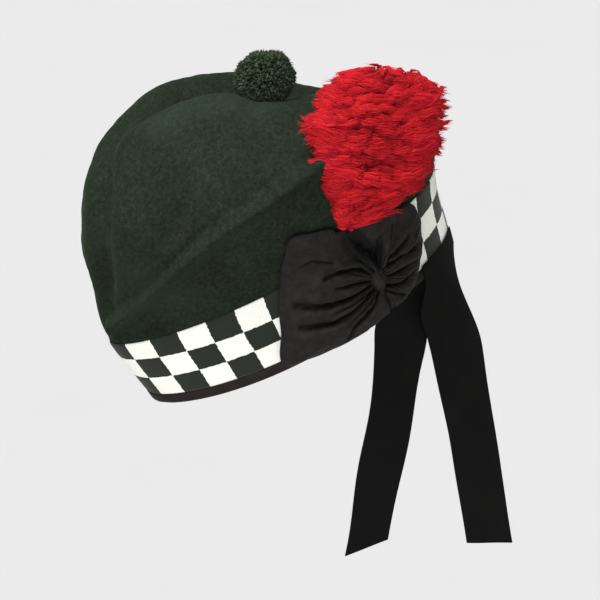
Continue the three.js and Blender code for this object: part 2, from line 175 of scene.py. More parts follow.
def curve_through(points: Array, steps: int) -> Array:
    """Runs a smooth centripetal curve through points, or through whole rows of them at once.

    Args:
        points: The points in order, with the coordinates last.
        steps: How many steps between each two.

    Returns:
        The curve's points, in order.
    """
    ends = [2 * points[0] - points[1], *points, 2 * points[-1] - points[-2]]
    out = []
    for p0, p1, p2, p3 in zip(ends, ends[1:], ends[2:], ends[3:]):
        gaps = [
            np.maximum(np.linalg.norm(b - a, axis=-1, keepdims=True), 1e-4) ** 0.5
            for a, b in ((p0, p1), (p1, p2), (p2, p3))
        ]
        start = ((p1 - p0) / gaps[0] - (p2 - p0) / (gaps[0] + gaps[1]) + (p2 - p1) / gaps[1]) * gaps[1]
        end = ((p2 - p1) / gaps[1] - (p3 - p1) / (gaps[1] + gaps[2]) + (p3 - p2) / gaps[2]) * gaps[1]
        for w in np.arange(steps) / steps:
            square = -3 * p1 + 3 * p2 - 2 * start - end
            out.append(p1 + start * w + square * w**2 + (2 * p1 - 2 * p2 + start + end) * w**3)
    out.append(points[-1])
    return np.array(out)


def run_along(line: Array) -> Array:
    """Returns how far along a line each of its points lies."""
    return np.concatenate([[0], np.cumsum(np.linalg.norm(np.diff(line, axis=0), axis=-1))])


class Ripples:
    """Soft random waves in space, the same each time, for wrinkles and undulation."""

    shortest_to_longest = (0.6, 1.5)

    def __init__(self, seed: int, size: float, waves: int = 24) -> None:
        """Sets the waves up.

        Args:
            seed: Picks the pattern.
            size: The typical distance from crest to crest, in millimetres.
            waves: How many waves are added together.
        """
        rng = np.random.default_rng(seed)
        heading = unit(rng.normal(size=(waves, 3)))
        self.wave = heading * (TURN / size) * rng.uniform(*self.shortest_to_longest, (waves, 1))
        self.phase = rng.uniform(0, TURN, waves)

    def __call__(self, points: Array) -> Array:
        """Returns the height at each point, mostly from -1 to 1."""
        total = np.sin(points @ self.wave.T + self.phase).sum(axis=-1)
        return total / math.sqrt(len(self.phase) / 2)


def grid_faces(rows: int, columns: int, start: int = 0, ringed: bool = False) -> Array:
    """Lists the four-sided faces of a grid of points.

    Args:
        rows: How many rows of points.
        columns: How many points in a row.
        start: The number of the grid's first point.
        ringed: Whether each row closes on itself.

    Returns:
        One line of four point numbers for each face.
    """
    across = columns if ringed else columns - 1
    r, c = np.meshgrid(np.arange(rows - 1), np.arange(across), indexing="ij")
    n = (c + 1) % columns
    faces = np.stack([r * columns + c, r * columns + n, (r + 1) * columns + n, (r + 1) * columns + c], -1)
    return faces.reshape(-1, 4) + start


def ring_strip(first: int, second: int, columns: int) -> Array:
    """Lists the faces between two rings of points.

    Args:
        first: The number of the first ring's first point.
        second: The number of the second ring's first point.
        columns: How many points are in a ring.

    Returns:
        One line of four point numbers for each face.
    """
    i = np.arange(columns)
    j = (i + 1) % columns
    return np.stack([first + i, first + j, second + j, second + i], -1)


def closed_tube(rows: int, columns: int) -> Array:
    """Lists the faces of a tube whose ends are closed to two more points, that follow its own.

    Args:
        rows: How many rings the tube has.
        columns: How many points are in a ring.

    Returns:
        One line of four point numbers for each face, where a triangle repeats its last number.
    """
    i = np.arange(columns)
    j = (i + 1) % columns
    last, count = (rows - 1) * columns, rows * columns
    first_lid = np.stack([j, i, i * 0 + count, i * 0 + count], -1)
    last_lid = np.stack([last + i, last + j, i * 0 + count + 1, i * 0 + count + 1], -1)
    return np.concatenate([grid_faces(rows, columns, 0, True), first_lid, last_lid])


def spun(paths: Array, widths: Array, across: Array, flat: float, sides: int = 3) -> tuple[Array, Array]:
    """Makes many thin tapered strands, each closed at both ends.

    Args:
        paths: The middle lines, as strands by stations by coordinates.
        widths: The half width at each station of each strand.
        across: The direction of each strand's width.
        flat: The strand's thickness as a share of its width.
        sides: How many flat sides each strand has.

    Returns:
        The points and the faces, where three-sided ends repeat their last number.
    """
    count, stations, _ = paths.shape
    along = unit(np.gradient(paths, axis=1))
    side = unit(across[:, None, :] - (across[:, None, :] * along).sum(-1, keepdims=True) * along)
    over = np.cross(along, side)
    turn = np.arange(sides) * TURN / sides + math.pi / 2
    ring = (
        paths[:, :, None]
        + side[:, :, None] * (np.cos(turn)[:, None] * widths[:, :, None, None])
        + over[:, :, None] * (np.sin(turn)[:, None] * widths[:, :, None, None] * flat)
    )
    one = grid_faces(stations, sides, 0, True)
    last = (stations - 1) * sides
    lid = np.array([[k, sides - 1 - k, sides - 2 - k, k + 1] for k in range((sides - 1) // 2)])
    one = np.concatenate([one, lid, lid[:, ::-1] + last])
    faces = one[None] + (np.arange(count) * stations * sides)[:, None, None]
    return ring.reshape(-1, 3), faces.reshape(-1, 4)


def make_piece(
    name: str,
    points: Array,
    faces: Array,
    numbers: dict[str, Array] | None = None,
    chart: Array | None = None,
    weld: float = 0.0,
) -> bpy.types.Object:
    """Makes one object from points and faces.

    Args:
        name: The object's name.
        points: Points in millimetres, in the frame's axes.
        faces: Faces of four point numbers, where a triangle repeats its last number.
        numbers: Named values, one for each point, for the finish to read.
        chart: Flat coordinates of each point, for a finish that follows the cloth.
        weld: Points closer than this, in millimetres, become one.

    Returns:
        The object, with smooth shading.
    """
    lists = [list(dict.fromkeys(f)) for f in faces.tolist()]
    mesh = bpy.data.meshes.new(name)
    mesh.from_pydata((points * MM).tolist(), [], lists)
    for key, values in (numbers or {}).items():
        mesh.attributes.new(key, "FLOAT", "POINT").data.foreach_set("value", values.astype(np.float32))
    if chart is not None:
        corner = np.zeros(len(mesh.loops), np.int32)
        mesh.loops.foreach_get("vertex_index", corner)
        layer = mesh.uv_layers.new(name="cloth")
        layer.data.foreach_set("uv", chart[corner].astype(np.float32).ravel())
    mesh.polygons.foreach_set("use_smooth", [True] * len(mesh.polygons))
    piece = bpy.data.objects.new(name, mesh)
    bpy.context.scene.collection.objects.link(piece)
    if weld > 0:
        apply_modifier(piece, "WELD", merge_threshold=weld * MM)
    return piece


def apply_modifier(piece: bpy.types.Object, kind: str, **settings: object) -> None:
    """Runs one modifier on a piece and keeps only its result.

    Args:
        piece: The piece.
        kind: The modifier's type.
        settings: Its settings by name.
    """
    modifier = piece.modifiers.new(kind.lower(), kind)
    for key, value in settings.items():
        setattr(modifier, key, value)
    seen = piece.evaluated_get(bpy.context.evaluated_depsgraph_get())
    made = bpy.data.meshes.new_from_object(seen)
    piece.modifiers.clear()
    piece.data = made


def finish_piece(piece: bpy.types.Object, material: bpy.types.Material, node: str) -> None:
    """Dresses a piece and sets it in the frame.

    Args:
        piece: The piece.
        material: Its finish.
        node: The solid of the frame that it stands for.
    """
    piece.data.materials.clear()
    piece.data.materials.append(material)
    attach(piece, "root")
    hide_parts(node)
    LOG.info("%s: %d faces", piece.name, len(piece.data.polygons))


# ------------------------------------------------------------------------------ finishes


def add_node(
    tree: bpy.types.NodeTree,
    kind: str,
    inputs: dict[int | str, object] | tuple[object, ...] = (),
    output: int | str = 0,
    **settings: object,
) -> Socket | None:
    """Adds one node with its settings, values and links.

    Args:
        tree: The node tree.
        kind: The node's type, such as "TexNoise", without the "ShaderNode" at its front.
        inputs: A value, or an output to link, for each input by name or number, or in order.
        output: The output that is wanted.
        settings: Properties of the node.

    Returns:
        That output, if the node has any.
    """
    made = tree.nodes.new("ShaderNode" + kind)
    for key, value in settings.items():
        setattr(made, key, value)
    for key, value in inputs.items() if isinstance(inputs, dict) else enumerate(inputs):
        if isinstance(value, Socket):
            tree.links.new(value, made.inputs[key])
        else:
            made.inputs[key].default_value = value
    return made.outputs[output] if made.outputs else None


def repeats(size: float) -> float:
    """Returns how often a pattern of that many millimetres repeats in a metre."""
    return 1 / (size * MM)


@dataclass(frozen=True)
class Finish:
    """What all the finishes share: a name, the shader's plain numbers and how they are put together.

    The detail and the grain's roughness are those of its random patterns.
    """

    name: str
    roughness: float
    sheen: float
    sheen_tint: str
    specular: float = 0.3
    sheen_roughness: float = 0.5
    ior: float = 1.5
    detail: float = 2.0
    grain_roughness: float = 0.6

    def pattern(self, add: Callable[..., Socket]) -> tuple[Socket, Socket | None]:
        """Adds the nodes of the finish's own colour and relief.

        Args:
            add: Adds one node to the material.

        Returns:
            The colour, and the bumped normal if there is one.
        """
        raise NotImplementedError

    def material(self) -> bpy.types.Material:
        """Makes the material: the finish's own pattern, ended in its shader.

        Returns:
            The material.
        """
        material = bpy.data.materials.new(self.name)
        material.use_nodes = True
        material.node_tree.nodes.clear()
        add = partial(add_node, material.node_tree)
        colour, relief = self.pattern(add)
        inputs = {
            "Base Color": colour,
            "Roughness": self.roughness,
            "IOR": self.ior,
            "Specular IOR Level": self.specular,
            "Sheen Weight": self.sheen,
            "Sheen Roughness": self.sheen_roughness,
            "Sheen Tint": linear(self.sheen_tint),
        }
        if relief is not None:
            inputs["Normal"] = relief
        add("OutputMaterial", {"Surface": add("BsdfPrincipled", inputs)})
        return material


@dataclass(frozen=True)
class MilledWool(Finish):
    """Knitted wool, milled and brushed to a short nap: soft, mottled and without gloss.

    Its hairs are drawn coarser than wool's 0.03 mm, so that the nap shows.
    """

    deep: str = "#111610"
    body: str = "#1e261d"
    warm: str = "#20251d"
    bright: str = "#2d382b"
    # Painted highlight: the lighter green laid on the crown's lit crest and lower front, in place of light.
    worn: str = "#333f33"
    cloud: float = 26.0
    patch: float = 17.0
    nap: float = 2.6
    hair: float = 0.8
    fine_detail: float = 3.0
    cloud_share: float = 0.22
    nap_share: float = 0.4895
    hair_share: float = 0.4005
    deep_to_body: tuple[float, float] = (0.42, 0.64)
    body_to_bright: tuple[float, float] = (0.62, 0.86)
    body_to_warm: tuple[float, float] = (0.4, 0.65)
    # How much of the painted highlight is laid on.
    painted_light: float = 0.4
    hair_height: float = 0.7
    relief: float = 0.5
    strength: float = 0.5

    def pattern(self, add: Callable[..., Socket]) -> tuple[Socket, Socket | None]:
        """Adds a mottled nap over slow clouds of colour, with a painted highlight laid where the crown is
        lit.

        Args:
            add: Adds one node to the material.

        Returns:
            The colour and the bumped normal.
        """
        grain = {"Vector": add("TexCoord", output="Object"), "Roughness": self.grain_roughness}
        cloud, nap, hair, patch = (
            add("TexNoise", grain | {"Scale": repeats(size), "Detail": detail})
            for size, detail in (
                (self.cloud, self.fine_detail),
                (self.nap, self.fine_detail),
                (self.hair, self.detail),
                (self.patch, self.detail),
            )
        )
        mixed = add("Math", (hair, self.hair_share), operation="MULTIPLY")
        mixed = add("Math", (nap, self.nap_share, mixed), operation="MULTIPLY_ADD")
        mixed = add("Math", (cloud, self.cloud_share, mixed), operation="MULTIPLY_ADD")
        tint = add("MapRange", (patch, *self.body_to_warm))
        body = add("Mix", {0: tint, 6: linear(self.body), 7: linear(self.warm)}, 2, data_type="RGBA")
        low = add("MapRange", (mixed, *self.deep_to_body))
        colour = add("Mix", {0: low, 6: linear(self.deep), 7: body}, 2, data_type="RGBA")
        high = add("MapRange", (mixed, *self.body_to_bright))
        colour = add("Mix", {0: high, 6: colour, 7: linear(self.bright)}, 2, data_type="RGBA")
        # Painted highlight: lighter colour mixed in by the crown's number for it, standing in for light.
        highlight_mask = add("Attribute", output="Fac", attribute_name="worn")
        highlight_mask = add("Math", (highlight_mask, self.painted_light), operation="MULTIPLY")
        colour = add("Mix", {0: highlight_mask, 6: colour, 7: linear(self.worn)}, 2, data_type="RGBA")
        height = add("Math", (hair, self.hair_height, nap), operation="MULTIPLY_ADD")
        inputs = {"Height": height, "Distance": self.relief * MM, "Strength": self.strength}
        return colour, add("Bump", inputs)


@dataclass(frozen=True)
class KnittedDicing(Finish):
    """Worsted wool knitted in two colours: flat clean squares with slightly uneven edges.

    The chart counts squares, from the front round to the left and up.
    """

    light: str = "#dfdfd8"
    light_hollow: str = "#d5d5cd"
    dark: str = "#242820"
    dark_hollow: str = "#1a1e19"
    square: float = 18.5
    stitch: float = 1.9
    stitch_slope: float = 1.1
    nap: float = 3.0
    fuzz: float = 2.2
    hair: float = 0.7
    nap_range: tuple[float, float] = (0.25, 0.85)
    hair_range: tuple[float, float] = (0.3, 0.75)
    hair_height: float = 0.5
    waver: float = 0.045
    relief: float = 0.45
    strength: float = 0.35

    def pattern(self, add: Callable[..., Socket]) -> tuple[Socket, Socket | None]:
        """Adds squares whose edges waver by a hair, each with a nap, over ribs of knitted stitches.

        Args:
            add: Adds one node to the material.

        Returns:
            The colour and the bumped normal.
        """
        where = add("TexCoord", output="Object")
        chart = add("UVMap", uv_map="cloth")
        grain = {"Vector": where, "Detail": self.detail}
        fuzz = add("TexNoise", grain | {"Scale": repeats(self.fuzz)}, "Color")
        shift = (fuzz, (2 * self.waver, 2 * self.waver, 0), chart)
        shifted = add("VectorMath", shift, operation="MULTIPLY_ADD")
        parts = add("SeparateXYZ", (shifted,)).node
        odd = None
        for axis in (0, 1):
            cell = add("Math", (parts.outputs[axis], self.waver), operation="SUBTRACT")
            cell = add("Math", (cell,), operation="FLOOR")
            odd = cell if odd is None else add("Math", (odd, cell), operation="ADD")
        odd = add("Math", (odd, 2.0), operation="MODULO")
        grain["Roughness"] = self.grain_roughness
        hair, nap = (add("TexNoise", grain | {"Scale": repeats(size)}) for size in (self.hair, self.nap))
        raised = add("MapRange", (nap, *self.nap_range))
        light = {0: raised, 6: linear(self.light_hollow), 7: linear(self.light)}
        raised = add("MapRange", (hair, *self.hair_range))
        dark = {0: raised, 6: linear(self.dark_hollow), 7: linear(self.dark)}
        light, dark = (add("Mix", inputs, 2, data_type="RGBA") for inputs in (light, dark))
        colour = add("Mix", {0: odd, 6: light, 7: dark}, 2, data_type="RGBA")
        raw = add("SeparateXYZ", (chart,)).node
        per = self.square / self.stitch
        column = add("Math", (raw.outputs[0], per), operation="MULTIPLY")
        column = add("Math", (column, 0.5), operation="PINGPONG")
        leg = add("Math", (raw.outputs[1], per * self.stitch_slope, column), operation="MULTIPLY_ADD")
        leg = add("Math", (leg, 0.5), operation="PINGPONG")
        height = add("Math", (leg, column), operation="ADD")
        height = add("Math", (hair, self.hair_height, height), operation="MULTIPLY_ADD")
        inputs = {"Height": height, "Distance": self.relief * MM, "Strength": self.strength}
        return colour, add("Bump", inputs)


@dataclass(frozen=True)
class WovenTape(Finish):
    """Narrow woven cloth with ribs across it: ribbon, binding tape or taffeta, by its rib and gloss.

    The chart is in millimetres, across the cloth and along it. Its threads are drawn coarser than
    the real 0.1 to 0.2 mm, so that their fleck shows.
    """

    deep: str = "#0f0f0f"
    body: str = "#171717"
    # Painted shade: near black laid into the creases, by the piece's fold number. Only the cockade's loops
    # carry that number.
    creased: str = "#020202"
    rib: float = 0.8
    rib_depth: float = 0.12
    patch: float = 14.0
    thread: float = 0.35
    wander: float = 6.0
    wander_share: float = 0.35
    patch_share: float = 0.7
    thread_share: float = 0.3
    thread_height: float = 0.3
    deep_to_body: tuple[float, float] = (0.35, 0.65)
    strength: float = 0.6

    def pattern(self, add: Callable[..., Socket]) -> tuple[Socket, Socket | None]:
        """Adds ribs that wander a little, a fleck to each thread, and painted shade, near black, in the
        creases.

        Args:
            add: Adds one node to the material.

        Returns:
            The colour and the bumped normal.
        """
        grain = {"Vector": add("TexCoord", output="Object"), "Roughness": self.grain_roughness}
        wander, thread, patch = (
            add("TexNoise", grain | {"Scale": repeats(size), "Detail": detail})
            for size, detail in ((self.wander, 2.0), (self.thread, 1.0), (self.patch, 3.0))
        )
        chart = add("UVMap", uv_map="cloth")
        rib = add("Math", (add("SeparateXYZ", (chart,), 1), self.rib), operation="DIVIDE")
        rib = add("Math", (wander, self.wander_share, rib), operation="MULTIPLY_ADD")
        rib = add("Math", (rib, 0.5), operation="PINGPONG")
        mixed = add("Math", (thread, self.thread_share), operation="MULTIPLY")
        mixed = add("Math", (patch, self.patch_share, mixed), operation="MULTIPLY_ADD")
        raised = add("MapRange", (mixed, *self.deep_to_body))
        colour = add("Mix", {0: raised, 6: linear(self.deep), 7: linear(self.body)}, 2, data_type="RGBA")
        # Painted shade: the creases darkened towards near black by the fold number.
        fold = add("Attribute", output="Fac", attribute_name="fold")
        colour = add("Mix", {0: fold, 6: colour, 7: linear(self.creased)}, 2, data_type="RGBA")
        height = add("Math", (thread, self.thread_height, rib), operation="MULTIPLY_ADD")
        inputs = {"Height": height, "Distance": self.rib_depth * MM, "Strength": self.strength}
        return colour, add("Bump", inputs)


@dataclass(frozen=True)
class StrandDye(Finish):
    """Dyed strands, feather or yarn: each has its own shade, from 0, deep, to 1, bright, which also carries
    painted shade and light.
    """

    deep: str = "#7e1018"
    body: str = "#aa1820"
    bright: str = "#ba202a"
    fleck: float = 0.9
    fleck_share: float = 0.3

    def pattern(self, add: Callable[..., Socket]) -> tuple[Socket, Socket | None]:
        """Adds each strand's shade, flecked a little along it.

        Args:
            add: Adds one node to the material.

        Returns:
            The colour, and no normal.
        """
        grain = {"Vector": add("TexCoord", output="Object"), "Roughness": self.grain_roughness}
        fleck = add("TexNoise", grain | {"Scale": repeats(self.fleck), "Detail": self.detail})
        fleck = add("Math", (fleck, 0.5), operation="SUBTRACT")
        shade = add("Attribute", output="Fac", attribute_name="shade")
        mixed = add("Math", (fleck, self.fleck_share, shade), operation="MULTIPLY_ADD")
        low, high = (add("MapRange", (mixed, *span)) for span in ((0.0, 0.5), (0.5, 1.0)))
        colour = add("Mix", {0: low, 6: linear(self.deep), 7: linear(self.body)}, 2, data_type="RGBA")
        colour = add("Mix", {0: high, 6: colour, 7: linear(self.bright)}, 2, data_type="RGBA")
        return colour, None


# Milled and brushed wool: dull dark green, softly mottled, with painted highlights on its lit crest and
# lower front.
FELT_FINISH = MilledWool(
    "milled_wool", roughness=0.95, sheen=0.14, sheen_tint="#5f7a58", specular=0.05, sheen_roughness=0.4
)
# Knitted worsted: dull, clean squares of off-white and near black.
DICING_FINISH = KnittedDicing(
    "knitted_dicing", roughness=0.92, sheen=0.1, sheen_tint="#ffffff", specular=0.15
)
# Woven cotton tape: dull, brown-black, with ribs that show only close to.
BINDING_FINISH = WovenTape(
    "binding_tape", roughness=0.7, sheen=0.04, sheen_tint="#8a8078", specular=0.14,
    deep="#120f0e", body="#1d1816", rib=0.9,
)  # fmt: skip
# Plain woven silk, gathered: a low gloss that picks out the folds, and painted shade, near black, in the
# creases.
TAFFETA_FINISH = WovenTape(
    "silk_taffeta", roughness=0.68, sheen=0.03, sheen_tint="#9a9690", specular=0.13,
    deep="#0f0d0c", body="#1e1b19", rib=0.5, rib_depth=0.05, patch=5.0,
)  # fmt: skip
# Ribbed cotton and rayon ribbon: flat, even black.
RIBBON_FINISH = WovenTape(
    "petersham_ribbon", roughness=0.88, sheen=0.01, sheen_tint="#6a6a6a", specular=0.08,
    deep="#080808", body="#0b0b0a",
)  # fmt: skip
# Dyed feather: soft crimson, with each lock in its own shade, and painted shade at the roots, in the lock
# bodies and in the down.
FEATHER_FINISH = StrandDye(
    "dyed_hackle", roughness=0.8, sheen=0.12, sheen_tint="#ff4a4a", specular=0.06
)
# Cut wool yarn: dull dark green, with painted light at the yarn ends and painted shade between them.
PILE_FINISH = StrandDye(
    "cut_wool_pile", roughness=0.95, sheen=0.12, sheen_tint="#8fa08c", specular=0.08,
    deep="#0c0f0a", body="#1b2118", bright="#3d4a35",
)  # fmt: skip


# ------------------------------------------------------------------------------ the bonnet's wall


@dataclass(frozen=True)
class Loop:
    """One plan loop of the crown: its reach, half width, heights and how its egg is shaped."""

    front: float
    back: float
    half: float
    z_front: float
    z_side: float
    z_back: float
    egg: float
    point: float
    blunt: float
    crest: float

    def at(self, t: Array) -> Array:
        """Returns the loop's points.

        Args:
            t: Angles round the bonnet, 0 at the front and a half turn at the back.

        Returns:
            The points, in millimetres.
        """
        c, s = np.cos(t), np.sin(t)
        power = 1 + self.point * (1 + c) / 2 + self.blunt * (1 - c) / 2
        x = self.half * s * (s**2 + ROUNDED) ** ((power - 1) / 2) * (1 - self.egg * c)
        y = (self.back - self.front) / 2 - (self.front + self.back) / 2 * c
        tip = (self.z_front - self.z_back) / 2
        sag = (self.z_front + self.z_back) / 2 - self.z_side
        return np.stack([x, y, self.z_side + tip * c + sag * c**2 + self.crest * (c - c**3)], -1)


@dataclass(frozen=True)
class Fold:
    """A soft fold: it stands out of the wall if its height is above 0 and sinks in if below."""

    height: float
    width: float
    through: tuple[tuple[float, float, float], ...]

    def rise(self, points: Array) -> Array:
        """Returns how far the fold moves each point."""
        away = near_line(points, np.array(self.through, float))[0]
        return self.height * np.exp(-((away / self.width) ** 2))


def band_top(t: Array) -> Array:
    """Returns the height of the diced band's top edge at angles t."""
    c = np.cos(t)
    return BAND_TOP - np.where(c > 0, BAND_DIP_FRONT, BAND_DIP_BACK) * c**2


@dataclass(frozen=True)
class Tuck:
    """A roll of cloth that hangs over a hollow, on both sides, from the brow to past the ears.

    The edge gives its height up the cloth by degrees from the front. The profile gives how far the cloth
    stands out at distances under the edge, and over it where they are below 0.
    """

    edge: tuple[tuple[float, float], ...]
    profile: tuple[tuple[float, float], ...]
    slope: float = 0.9
    near: tuple[float, float] = (3, 12)
    far: tuple[float, float] = (18, 45)
    back: tuple[float, float] = (110, 140)
    over_band: float = 8.0
    soft: float = 1.4

    def rise(self, t: Array, h: Array) -> Array:
        """Returns how far the tuck moves the wall.

        Args:
            t: Angles round the bonnet.
            h: Millimetres of cloth up from the rim.

        Returns:
            Millimetres out of the wall at each place.
        """
        turn = np.degrees(np.arccos(np.cos(t)))
        under = (eased(self.edge, turn) - h) * self.slope
        table = np.array(self.profile, float)
        spread = [np.interp(under + s * self.soft, table[:, 0], table[:, 1]) for s in (-1, -0.5, 0, 0.5, 1)]
        fade = np.where(np.sin(t) > 0, smooth(turn, *self.near), smooth(turn, *self.far))
        fade = fade * (1 - smooth(turn, *self.back))
        return np.mean(spread, axis=0) * fade * smooth(h - band_top(t), 0, self.over_band)


LOOPS = (
    Loop(107, 108, 66, -7.5, -5.5, 9, 0.2, 0, -0.25, -3),
    Loop(119, 112, 77, 49, 46, 52, 0.22, 0.1, -0.25, 0),
    Loop(115, 120, 86, 76, 92, 66, 0.2, 0.15, -0.2, 0),
    Loop(105, 129, 76, 118, 122, 70, 0.16, 0.25, -0.1, 4),
    Loop(82, 133, 52, 149, 140, 74, 0.05, 0.25, 0, 7),
    Loop(58, 131, 23, 164, 147, 75, 0, 0.25, 0, 9),
    Loop(50, 125, 10, 159, 139, 74, 0, 0.25, 0, 9),
    Loop(46, 119, 0, 152, 133, 72, 0, 0, 0, 9),
)
FOLDS = (
    Fold(-8, 15, ((19, 22, 155), (19, 32, 151))),
    Fold(9.5, 26, ((-28, -101, 107), (-28, -84, 150), (-22, -35, 153))),
    Fold(4.5, 26, ((-24, 4, 160), (-20, 26, 151))),
    Fold(-3, 6, ((38, 6, 154), (50, -16, 148), (54, -39, 138), (53, -62, 120), (49, -75, 107))),
    Fold(
        -6, 10,
        (
            (-8, -44, 171), (-10, -58, 167), (-7, -75, 157), (5, -88, 141), (10, -99, 119),
            (10, -109, 90), (8, -113, 66),
        ),
    ),
)  # fmt: skip
TUCK = Tuck(
    (
        (0, 57), (15, 63), (29, 73), (41, 86), (50, 97), (59, 106), (67, 112), (82, 119), (100, 124),
        (140, 118),
    ),
    ((-13, 0), (-9.5, -1), (0, 6), (1.5, 5.6), (10, -3.5), (18, -4.5), (36, 0)),
)  # fmt: skip


@dataclass(frozen=True)
class Lean:
    """How the crown leans to the wearer's left: most at its top, and not at all at its back."""

    across: float = 26.0
    rise: tuple[float, float] = (45, 120)
    back: tuple[float, float] = (30, 125)

    def at(self, points: Array) -> Array:
        """Returns how far each point moves to the left."""
        return self.across * smooth(points[..., 2], *self.rise) * (1 - smooth(points[..., 1], *self.back))


class Wall:
    """The crown's outer surface, which every other piece is laid on."""

    columns = 720
    steps = 300
    between = 30
    last_normal = 0.985

    def __init__(self, loops: tuple[Loop, ...], folds: tuple[Fold, ...], tuck: Tuck, lean: Lean) -> None:
        """Works out a fine grid of the surface, even along the cloth.

        Args:
            loops: The plan loops from the rim up to the crease.
            folds: The soft folds on it.
            tuck: The tuck on both its sides.
            lean: How it all leans over.
        """
        self.folds = folds
        self.tuck = tuck
        self.lean = lean
        t = np.linspace(0, TURN, self.columns + 1)
        curve = curve_through(np.array([loop.at(t) for loop in loops]), self.between)
        run = np.linalg.norm(np.diff(curve, axis=0), axis=-1)
        far = np.concatenate([np.zeros((1, len(t))), np.cumsum(run, 0)])
        self.lengths = far[-1]
        share = np.linspace(0, 1, self.steps + 1)
        grid = np.zeros((len(t), len(share), 3))
        for i in range(len(t)):
            for k in range(3):
                grid[i, :, k] = np.interp(share * far[-1, i], far[:, i], curve[:, i, k])
        ringed = np.concatenate([grid[-2:-1], grid, grid[1:2]])
        around = np.gradient(ringed, axis=0)[1:-1]
        self.rise = unit(np.gradient(grid, axis=1))
        self.grid = grid
        self.normals = unit(np.cross(around, self.rise))

    def length(self, t: Array) -> Array:
        """Returns the length of cloth from the rim to the crease at angles t."""
        return np.interp(np.mod(t, TURN) / TURN * self.columns, np.arange(self.columns + 1), self.lengths)

    def look_up(self, table: Array, t: Array, share: Array) -> Array:
        """Reads a grid between its stations.

        Args:
            table: The grid, by column, station and coordinate.
            t: Angles round the bonnet.
            share: Shares of the cloth's length from the rim.

        Returns:
            What the grid holds at each place.
        """
        u = np.mod(t, TURN) / TURN * self.columns
        v = np.clip(share, 0, 1) * self.steps
        i = np.minimum(u.astype(int), self.columns - 1)
        j = np.minimum(v.astype(int), self.steps - 1)
        a, b = (u - i)[..., None], (v - j)[..., None]
        low = table[i, j] * (1 - a) + table[i + 1, j] * a
        high = table[i, j + 1] * (1 - a) + table[i + 1, j + 1] * a
        return low * (1 - b) + high * b

    def on(self, t: Array, h: Array, offset: Array | float) -> Array:
        """Returns points on the cloth, in the bonnet's own axes.

        Args:
            t: Angle round the bonnet, 0 at the front and a quarter turn at the wearer's left.
            h: Millimetres of cloth up from the rim. Below 0 the wall runs straight on.
            offset: Millimetres out from the wall.

        Returns:
            The points.
        """
        t, h, offset = np.broadcast_arrays(np.asarray(t, float), np.asarray(h, float), offset)
        share = h / self.length(t)
        point = self.look_up(self.grid, t, share)
        point = point + self.look_up(self.rise, t, np.zeros_like(share)) * np.minimum(h, 0)[..., None]
        normal = unit(self.look_up(self.normals, t, np.minimum(share, self.last_normal)))
        lift = offset + sum(fold.rise(point) for fold in self.folds) + self.tuck.rise(t, h)
        point = point + normal * lift[..., None]
        point[..., 0] += self.lean.at(point)
        return point


# ------------------------------------------------------------------------------ crown


@dataclass(frozen=True)
class PaintedLight:
    """A painted highlight along a line on the crown: lighter colour that stands in for light."""

    amount: float
    width: float
    through: tuple[tuple[float, float, float], ...]

    def at(self, points: Array) -> Array:
        """Returns how much painted highlight each point gets, from 0 to the amount."""
        away = near_line(points, np.array(self.through, float))[0]
        return self.amount * np.exp(-((away / self.width) ** 2))


@dataclass
class Crown:
    """The boat-shaped body: two milled wool sides that meet in the crease along the top."""

    wall: Wall
    around: int = 400
    up: int = 120
    lining_up: int = 44
    undulation: float = 0.45
    dimple: float = 0.12
    settled: tuple[float, float] = (0.25, 0.45)
    creased: tuple[float, float] = (0.93, 0.99)
    bunched: float = 0.06
    # Painted highlights: lighter colour along the near crest, where the top light falls, and over the lower
    # front, in place of fill light.
    painted_light: tuple[PaintedLight, ...] = (
        PaintedLight(0.5, 14.0, ((46, -44, 164), (50, -22, 166), (58, -3, 160), (64, 14, 152))),
        PaintedLight(0.35, 17.0, ((51, -92, 88), (45, -98, 66), (50, -80, 62))),
    )

    def build(self) -> None:
        """Builds the outer and inner faces, the rim between them, and dresses them."""
        t = np.arange(self.around) / self.around * TURN
        outer = self.face(t, self.up, 0.0)
        inner = self.face(t, self.lining_up, -FELT)
        slow, quick = Ripples(3, 60), Ripples(4, 9)
        normal = unit(np.cross(np.gradient(outer, axis=1), np.gradient(outer, axis=0)))
        share = np.linspace(0, 1, self.up + 1)
        fade = (smooth(share, *self.settled) * (1 - smooth(share, *self.creased)))[:, None]
        height = (self.undulation * slow(outer) + self.dimple * quick(outer)) * fade
        outer = outer + normal * height[..., None]
        points = np.concatenate([outer.reshape(-1, 3), inner.reshape(-1, 3)])
        # Painted highlight: how much lighter colour each point gets, kept on the piece for its finish.
        worn = sum(painted_light.at(points) for painted_light in self.painted_light)
        count = outer.shape[0] * self.around
        faces = np.concatenate(
            [
                grid_faces(self.up + 1, self.around, 0, True),
                grid_faces(self.lining_up + 1, self.around, count, True)[:, ::-1],
                ring_strip(count, 0, self.around),
            ]
        )
        piece = make_piece("wool_crown", to_frame(points), faces, {"worn": worn}, weld=0.02)
        finish_piece(piece, FELT_FINISH.material(), "crown")

    def face(self, t: Array, steps: int, offset: float) -> Array:
        """Returns rings of points from the rim to the crease.

        Args:
            t: Angles round the bonnet.
            steps: How many steps the rings take, closer together at both ends.
            offset: Millimetres out from the wall.

        Returns:
            Points by ring and angle.
        """
        share = np.linspace(0, 1, steps + 1)
        share = share + self.bunched * np.sin(TURN * share) / TURN
        tt, ss = np.meshgrid(t, share)
        return self.wall.on(tt, ss * self.wall.length(tt), offset)


# ------------------------------------------------------------------------------ diced band and binding


